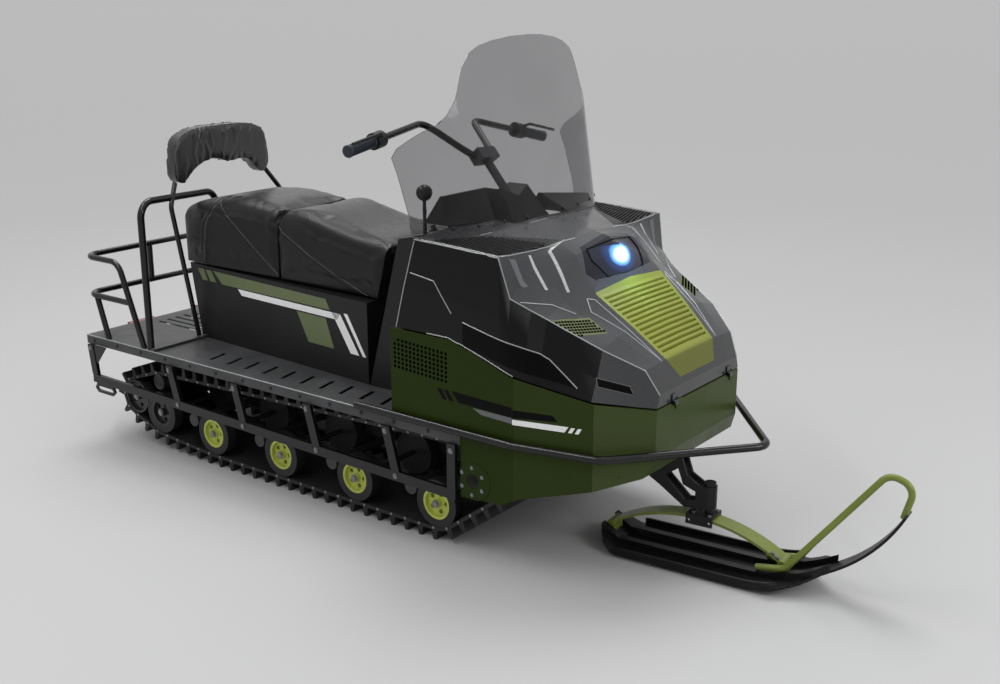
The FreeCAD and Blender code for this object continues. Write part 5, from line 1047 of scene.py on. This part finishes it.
def make_films():
    """Stripes and bands in the photograph's colours, each outline as seen on the right side."""
    olive = [[(-1148, -185, 674), (-1112, -187, 675), (-1090, -188, 633.6), (-1122, -186, 632.7)],
             [(-1099.5, -188, 675), (-1066, -190, 675), (-1040, -192, 634), (-1075, -189, 633)],
             [(-1053, -191, 676), (-427, -232, 671), (-406, -234, 635), (-1002, -194, 632)],
             [(-581, -222, 602), (-430, -232, 602), (-392, -234, 500), (-525, -226, 500)]]
    both_sides("seat_box_olive", "seat_box", olive, FROM_RIGHT, "decal_olive", "chassis")
    silver = [[(-910, -200, 629), (-355, -237, 629), (-370, -236, 607), (-889, -201, 607)],
              [(-397, -235, 629), (-355, -237, 629), (-266, -243, 499), (-308, -240, 499)],
              [(-337, -238, 635), (-319, -240, 635), (-232, -245, 499), (-248, -244, 499)]]
    both_sides("seat_box_silver", "seat_box", silver, FROM_RIGHT, "decal_silver", "chassis")
    slashes = [[(237, -436, 536), (254, -436, 536), (276, -436, 504), (260, -436, 504)],
               [(264, -436, 535), (280, -436, 535.5), (303, -436, 504.5), (287, -436, 504)],
               [(293, -436, 536), (518, -436, 529), (518, -436, 499), (321, -436, 505)],
               [(520, -436, 523), (643, -409, 524), (660, -406, 507), (520, -436, 499)]]
    both_sides("pan_black", "nose_pan", slashes, FROM_RIGHT, "gloss_black", "chassis")
    grey = [(374, -436, 499), (518, -436, 498), (518, -436, 480), (406, -436, 484)]
    both_sides("pan_grey", "nose_pan", [grey], FROM_RIGHT, "decal_grey", "chassis")
    bright = [[(520, -436, 494), (692, -398, 497), (680, -401, 479), (520, -436, 478)],
              [(700, -397, 496), (711, -394, 496), (702, -396, 479.6), (690.5, -399, 479.5)],
              [(720, -392, 496), (731, -390, 496), (722, -392, 479.8), (710.6, -394, 479.5)]]
    both_sides("pan_silver", "nose_pan", bright, FROM_RIGHT, "decal_silver", "chassis")
    panel = [(342, -441, 755), (594, -405, 697), (623, -397, 682), (709, -386, 614), (543, -430, 641),
             (338, -436, 685)]
    both_sides("side_panel", "hood", [panel], FROM_RIGHT, "gloss_black", "hood")
    bars = [[(488, -316, 956), (490, -306, 954), (557, -313, 862), (553, -322, 862)],
            [(502, -238, 956), (506, -227, 957), (596, -257, 851), (591, -266, 851)],
            [(494, -143, 975), (500, -146, 974), (506, -227, 957), (501, -236, 957)]]
    both_sides("hood_silver", "hood", bars, (-0.7, 0, -0.7), "decal_mesh", "hood")
    top = [(218, -430, 984), (327, -287, 988), (488, -150, 975), (490, -241, 962), (470, -426, 970)]
    both_sides("hood_top_panel", "hood", [top], DOWN, "moulded_black", "hood", lift=0.4)
    both_sides("hood_recess", "hood", [RECESS], (-0.75, 0.66, 0), "gloss_black", "hood")
    half = [(598, -176, 890), (546, -134, 957), (540, -15, 974)]
    lower_half = [(634, -12, 868), (619, -156, 871)]
    surround = half + flipped(half[::-1]) + flipped(lower_half[::-1]) + lower_half
    patch("lamp_surround", "hood", surround, (-0.8, 0, -0.6), "lamp_housing", "hood")
    grey_bar = [(483, -403, 960), (486, -376, 953), (520, -362, 875), (514, -378, 874)]
    both_sides("hood_grey_bar", "hood", [grey_bar], (-0.7, 0, -0.7), "decal_grey", "hood")


# Painted highlight lines on the hood's right side: its long edge, the channel beside the grille, the small
# vent, the side panel, the upper side, the rear corner and the top
HOOD_ROUTES = [
    [(168, -447, 984), (283, -448, 980), (480, -450, 969), (507, -430, 851), (560, -398, 817),
     (600, -381, 796), (648, -367, 773), (757, -330, 720), (856, -260, 661), (893, -238, 590)],
    [(634, -225, 830), (663, -246, 798), (757, -208, 746), (855, -165, 666), (757, -188, 750),
     (649, -206, 825), (634, -225, 830)],
    [(528, -412, 840), (586, -332, 826), (640, -290, 800)],
    [(342, -441, 758), (595, -405, 699), (624, -397, 684), (711, -386, 613)],
    [(147, -445, 881), (239, -446, 868), (301, -442, 778)],
    [(167, -447, 980), (78, -441, 700)],
    [(190, -440, 984), (469, -436, 968), (482, -400, 968), (488, -243, 965), (508, -105, 975)]]


def hood_foot():
    """The hood's lower edge on the right side, found by lines from the right in small steps down."""
    step = 4
    route = []
    for x in (80, 200, 330, 430, 520, 620, 700, 760, 820, 860, 890):
        z = 900
        while z > 540 and struck("hood", (x, OUTSIDE, z - step), FROM_RIGHT)[0] is not None:
            z -= step
        point = struck("hood", (x, OUTSIDE, z), FROM_RIGHT)[0]
        if point is not None:
            route.append(tuple(point / MM))
    return route


def make_lines():
    """Painted highlights: bright lines along the hood's and deck's edges, and dim ones round the hood's
    recess.
    """
    recess = RECESS + RECESS[:1]
    # dim painted highlight round the recess, on both sides
    piping("hood_dim_lines", "hood", [recess, flipped(recess)], 1.4, "painted_dim_highlight", "hood")
    # painted highlight lines along the hood's edges and its lower edge
    routes = HOOD_ROUTES + [hood_foot()]
    routes += [flipped(route) for route in routes]
    piping("hood_lines", "hood", routes, 2.0, "painted_highlight_silver", "hood")
    # painted highlight along the deck's upper edge
    edge = [(-1522, -437.5, 405.5), (498, -437.5, 405.5)]
    piping("deck_lines", "deck", [edge, flipped(edge)], 2.4, "painted_highlight_silver", "chassis",
           spacing=60)


# Openwork

def grid_in(outline, step, tilt):
    """Places on a square grid inside a convex outline seen from above."""
    turn = Matrix.Rotation(tilt, 2)
    flat = [turn @ Vector(p) for p in outline]
    low = Vector((min(p.x for p in flat), min(p.y for p in flat)))
    high = Vector((max(p.x for p in flat), max(p.y for p in flat)))
    back = turn.inverted()
    found = []
    for i in range(int((high.x - low.x) / step) + 1):
        for j in range(int((high.y - low.y) / step) + 1):
            spot = low + Vector((i + 0.5, j + 0.5)) * step
            turns = [(b - a).cross(spot - a) for a, b in zip(flat, flat[1:] + flat[:1])]
            if all(t > 0 for t in turns) or all(t < 0 for t in turns):
                found.append(back @ spot)
    return found


VENT_TILT = 0.5
HOOD_GRID_TILT = 0.3


def make_openwork():
    """Square holes in the pan's side, the mesh vents and the dark grids on the hood's top."""
    rows = [(70 + i * 15.6, 660 - j * 14.4 - i * 0.9) for i in range(14) for j in range(7)]
    holes = with_mirror(shots_from_right("nose_pan", rows, 0.2))
    studs("pan_holes", holes, "peg", (8.5, 8.5, 1.2), "hole_black", "chassis", "black_plastic")
    vent = [(618, -369), (672, -268), (730, -268), (690, -351)]
    way = (math.cos(VENT_TILT), -math.sin(VENT_TILT), 0)
    holes = with_mirror([shot("hood_vents", (p.x, p.y, OVERHEAD), DOWN, 0.0, way)
                         for p in grid_in(vent, 9.5, VENT_TILT)])
    studs("vent_holes", holes, "peg", (7.2, 7.2, 1.2), "hole_black", "hood", "olive_grille")
    top = [(222, -425), (330, -295), (480, -215), (486, -245), (468, -424)]
    holes = with_mirror([shot("hood", (p.x, p.y, OVERHEAD), DOWN, -0.6)
                         for p in grid_in(top, 11, HOOD_GRID_TILT)])
    studs("hood_top_holes", holes, "peg", (6, 6, 1.0), "hole_black", "hood", "black_plastic")


# Fasteners and running gear

def hull_half(points):
    """One half of the outline round sorted points."""
    chain = []
    for p in points:
        while len(chain) > 1:
            a, b = chain[-2:]
            if (b[0] - a[0]) * (p[1] - a[1]) - (b[1] - a[1]) * (p[0] - a[0]) > 0:
                break
            chain.pop()
        chain.append(p)
    return chain[:-1]


def belt_loop():
    """Evenly spaced places on the belt's outer line round its wheels, each with its direction."""
    cloud = []
    for x, z, radius in [DRIVE_WHEEL, RETURN_ROLLER, REAR_WHEEL, IDLER] + GROUND_WHEELS:
        reach = radius + BELT_THICKNESS
        for k in range(180):
            angle = math.radians(2 * k)
            cloud.append((x + reach * math.cos(angle), z + reach * math.sin(angle)))
    cloud = sorted(set(cloud))
    line = [Vector(p) for p in hull_half(cloud) + hull_half(cloud[::-1])]
    spots = []
    left = 0.0
    for a, b in zip(line, line[1:] + line[:1]):
        run = (b - a).length
        while left < run:
            spots.append((a.lerp(b, left / run), (b - a).normalized()))
            left += CLIP_SPACING
        left -= run
    return spots


def make_track_parts():
    """Steel clips across the belts, rod ends along their edges and nuts on the wheels."""
    clips = []
    ends = []
    outward = Vector((0, -1, 0))
    for spot, way in belt_loop():
        out = Vector((way.y, 0, -way.x))
        along = Vector((way.x, 0, way.y))
        for y in CLIP_ROWS:
            clips.append((Vector((spot.x, -y, spot.y)) * MM + out * 0.6 * MM, out, along))
        ends.append((Vector((spot.x, -BELT_SIDE, spot.y)) * MM - out * 6 * MM, outward, along))
    studs("belt_clips", with_mirror(clips), "peg", (20, 34, 3.0), "bolt_steel", "chassis", "bare_steel")
    studs("belt_rod_ends", with_mirror(ends), "dome", (11, 11, 5), "bolt_steel", "chassis", "bare_steel")
    nuts = []
    for x, z, _ in GROUND_WHEELS + [IDLER, REAR_WHEEL]:
        hub = struck("wheel_rims_right", (x + 12, OUTSIDE, z), FROM_RIGHT)[0]
        nuts.append((Vector((x * MM, hub.y - 2 * MM, z * MM)), outward, Vector((1, 0, 0))))
    studs("wheel_nuts", with_mirror(nuts), "bolt", (19, 19, 9), "bolt_steel", "chassis", "bare_steel")


BOSS_RADIUS = 44
ABOVE_SKI = 400
SPRING_MIDDLE = 945
SPRING_SLANT = -0.087


def make_fasteners():
    """Bolts, rivets and screws where the frames and panels are held."""
    rail = shots_from_right("deck", [(x, 389) for x in range(-1480, 480, 140)], -1)
    studs("rail_bolts", with_mirror(rail), "dome", (13, 13, 6), "tube_black", "chassis", "dark_steel")
    guard = []
    for post in (-1031, -681, -323, 28):
        guard += [(post + 5, 356), (post + 45, 240 - (post + 1474) * 0.018)]
    guard = shots_from_right("side_guard_right", guard + [(-1490, 360), (300, 350)], -1)
    studs("guard_bolts", with_mirror(guard), "bolt", (13, 13, 6), "bolt_steel", "chassis", "black_steel")
    screws = [shot("windscreen", (700, y, 1018), FROM_FRONT, -0.5)
              for y in (-380, -300, -200, -100, 100, 200, 300, 380)]
    studs("screen_screws", screws, "dome", (13, 13, 6), "moulded_black", "hood", "black_plastic")
    rivets = [(70, 660), (70, 540), (310, 660), (310, 570), (500, 560), (500, 440), (350, 440), (560, 330),
              (700, 345), (820, 350)]
    rivets = shots_from_right("nose_pan", rivets, -0.5)
    studs("pan_rivets", with_mirror(rivets), "dome", (8, 8, 3), "pan_green", "chassis", "green_body")
    boss = []
    for k in range(6):
        angle = math.radians(60 * k + 30)
        boss.append((DRIVE_WHEEL[0] + BOSS_RADIUS * math.cos(angle),
                     DRIVE_WHEEL[1] + BOSS_RADIUS * math.sin(angle)))
    boss = shots_from_right("nose_pan", boss, -1)
    studs("boss_bolts", with_mirror(boss), "bolt", (9, 9, 5), "bolt_steel", "chassis", "dark_steel")
    fork = ((905, 26), (905, -26), (960, 26), (960, -26), (890, 0), (975, 0))
    ski = [shot("ski_fork", (x, y, ABOVE_SKI), DOWN, -2) for x, y in fork]
    for x in (660, 680, 1160, 1176):
        for y in (-14, 14):
            middle = (x - SPRING_MIDDLE) * SPRING_SLANT
            ski.append(shot("leaf_spring", (x, y + middle, ABOVE_SKI), DOWN, -2))
    studs("ski_bolts", ski, "bolt", (11, 11, 7), "bolt_steel", "ski", "bare_steel")


# Controls

CLAMP_PLACE = (83, 0, 1176)
COLUMN_RAKE = 40
BAR_TURN = 5

# Places on the bar as how far back, aside and up they lie, and lengths along the grip from its end
GRIP_END = (64, 545, 98)
GRIP_AIM = (46, 140, 172)
COLLAR_AT = 121
HOUSING_AT = 153
HOUSING_RADIUS = 26
FIRST_RIB = 10
RIB_SPACING = 7.4


def bar_frame():
    """The directions of the steering column: up along it and ahead across it."""
    rake = math.radians(COLUMN_RAKE)
    return Vector((-math.sin(rake), 0, math.cos(rake))), Vector((math.cos(rake), 0, math.sin(rake)))


def bar_spot(pull, y, rise):
    """A point of the handlebar at rest, turned a little to the left, in millimetres."""
    column, ahead = bar_frame()
    spot = -ahead * pull + Vector((0, y, 0)) + column * rise
    return Vector(CLAMP_PLACE) + Matrix.Rotation(math.radians(BAR_TURN), 3, column) @ spot


def make_controls():
    """Ribbed grips, switch buttons and the clamp's bolts on the handlebar."""
    column, ahead = bar_frame()
    rubber = ("grip_rubber", "handlebar", "grip_rubber")
    ribs = []
    buttons = []
    stops = []
    for side, name in ((-1, "right"), (1, "left")):
        end, aim = (bar_spot(pull, side * y, rise) for pull, y, rise in (GRIP_END, GRIP_AIM))
        way = (aim - end).normalized()
        for k in range(15):
            ribs.append(((end + way * (FIRST_RIB + k * RIB_SPACING)) * MM, way, column))
        cap = [(11, -1.5), (18.5, -1.5), (19, 0), (19, 5), (17.2, 7)]
        lathe("grip_end_" + name, cap, end, way, *rubber)
        collar = [(17.2, 0), (21, 1.5), (21, 6), (17.2, 8)]
        lathe("grip_collar_" + name, collar, end + way * COLLAR_AT, way, *rubber)
        housing = end + way * HOUSING_AT
        for number, (along, up, back) in enumerate(((-10, 22, -14), (4, 25, -8), (10, 8, -24))):
            out = (column * up + ahead * back).normalized()
            spot = (housing + way * along + out * HOUSING_RADIUS) * MM
            (stops if number == 1 and side > 0 else buttons).append((spot, out, way))
    studs("switch_buttons", buttons, "dome", (11, 8, 7), "gloss_black", "handlebar", "black_plastic")
    studs("stop_button", stops, "dome", (13, 13, 9), "lamp_red", "handlebar", "lamp_red")
    studs("grip_ribs", ribs, "ring", (35.8, 35.8, 3.4), *rubber)
    bolts = [(bar_spot(fore, across, 20) * MM, column, ahead) for across in (-34, 34) for fore in (-15, 15)]
    studs("clamp_bolts", bolts, "bolt", (9, 9, 9), "bolt_steel", "handlebar", "bare_steel")


NEEDLE_ANGLE = -0.9
DIAL_RADIUS = 27
CAP_RADIUS = 40
CAP_RIDGES = 28


def dial(name, centre, facing, radius):
    """A round gauge: bezel, face, marks and needle."""
    way = Vector(facing).normalized()
    rim = [(radius, 0), (radius + 5, 0), (radius + 5, 5), (radius + 2, 8), (radius - 1, 6), (radius - 2, 2.5)]
    lathe(name + "_bezel", rim, centre, way, "gloss_black", "chassis", "black_plastic")
    face = [(0.5, 2.4), (radius - 1, 2.4), (radius - 1, 3.0), (0.5, 3.0)]
    lathe(name + "_face", face, centre, way, "dial_face", "chassis", "black_plastic")
    side = Vector((0, 1, 0))
    up = way.cross(side).normalized()
    marks = []
    for k in range(11):
        angle = math.radians(-130 + 26 * k)
        spoke = side * math.sin(angle) + up * math.cos(angle)
        marks.append(((Vector(centre) + way * 3.2 + spoke * (radius - 7)) * MM, way, spoke))
    studs(name + "_marks", marks, "peg", (6, 1.4, 0.8), "dial_mark", "chassis", "lamp_glass")
    spoke = side * math.sin(NEEDLE_ANGLE) + up * math.cos(NEEDLE_ANGLE)
    needle = [((Vector(centre) + way * 4.0 + spoke * (radius * 0.36)) * MM, way, spoke)]
    studs(name + "_needle", needle, "peg", (radius * 0.95, 2.0, 0.8), "dial_needle", "chassis", "lamp_red")


def make_dash():
    """Two gauges on the pod, and the filler cap and knobs on the console."""
    for side, name in ((-1, "speed_dial"), (1, "rev_dial")):
        point, facing = struck("instrument_pod", (-200, side * 52, 1030), FROM_REAR)
        dial(name, tuple(point / MM), facing, DIAL_RADIUS)
    point, facing = struck("console", (-20, 0, OVERHEAD), DOWN)
    cap = [(30, -2), (CAP_RADIUS, 0), (CAP_RADIUS, 16), (37, 20), (12, 21), (12, 26), (8, 27), (0.5, 27)]
    lathe("filler_cap", cap, point / MM, facing, "moulded_black", "chassis", "black_plastic")
    side = facing.orthogonal().normalized()
    ridges = []
    for k in range(CAP_RIDGES):
        out = Matrix.Rotation(2 * math.pi * k / CAP_RIDGES, 3, facing) @ side
        ridges.append((point + facing * 8 * MM + out * CAP_RADIUS * MM, out, facing))
    studs("filler_cap_ridges", ridges, "peg", (12, 3.4, 3.0), "moulded_black", "chassis", "black_plastic")
    knob = [(12, 0), (14, 1), (14, 4), (9, 6), (8, 18), (6, 20), (0.5, 20)]
    for number, (x, y) in enumerate(((-40, -150), (-40, -110), (-40, 120))):
        point, facing = struck("console", (x, y, OVERHEAD), DOWN)
        lathe("dash_knob_%d" % number, knob, point / MM, facing, "gloss_black" if number else "bare_steel",
              "chassis", "black_plastic")


def make_console_seams():
    """The seams of the covers on the console's knee panel, as far as the panel has room for them."""
    routes = []
    for half, low, high in ((150, 500, 800), (118, 535, 640), (118, 665, 770)):
        ring = [(-half, low), (half, low), (half, high), (-half, high), (-half, low)]
        points = [struck("console", (-400, y, z), FROM_REAR)[0] for y, z in ring]
        if all(p is not None for p in points):
            routes.append([tuple(p / MM) for p in points])
    piping("console_seams", "console", routes, 1.6, "hole_black", "chassis", spacing=16)


# Lamps

REAR_LAMP_FACE = -1546


def make_lamp_frame():
    """The dark rim round the headlamp, on the hood or else on the lamp's own edge."""
    route = []
    for y, z in ((-118, 950), (118, 950), (128, 919), (100, 872), (-100, 872), (-128, 919), (-118, 950)):
        point = struck("hood", (900, y * 1.02, z), FROM_FRONT)[0]
        route.append(tuple((point or struck("headlamp", (900, y * 0.97, z), FROM_FRONT)[0]) / MM))
    piping("lamp_rim", "hood", [route], 3.2, "gloss_black", "hood", spacing=12)


def make_rear_end():
    """Dark frames round the two rear lamps."""
    rearward = Vector((-1, 0, 0))
    across = Vector((0, 1, 0))
    for side, name in ((-1, "rear_lamp_frame_right"), (1, "rear_lamp_frame_left")):
        for part, size, places in (("_long", (124, 4, 4), ((170, 404), (170, 374))),
                                   ("_short", (4, 34, 4), ((111, 389), (229, 389)))):
            bars = [(Vector((REAR_LAMP_FACE, side * y, z)) * MM, rearward, across) for y, z in places]
            studs(name + part, bars, "peg", size, "moulded_black", "chassis", "black_plastic")


bpy.context.scene.view_settings.view_transform = "Standard"
make_camera()
make_floor()
make_sky()
make_lamps()
LOOKS = make_finishes()
dress_nodes()
make_upholstery()
make_films()
make_lines()
make_openwork()
make_track_parts()
make_fasteners()
make_controls()
make_dash()
make_console_seams()
make_lamp_frame()
make_rear_end()
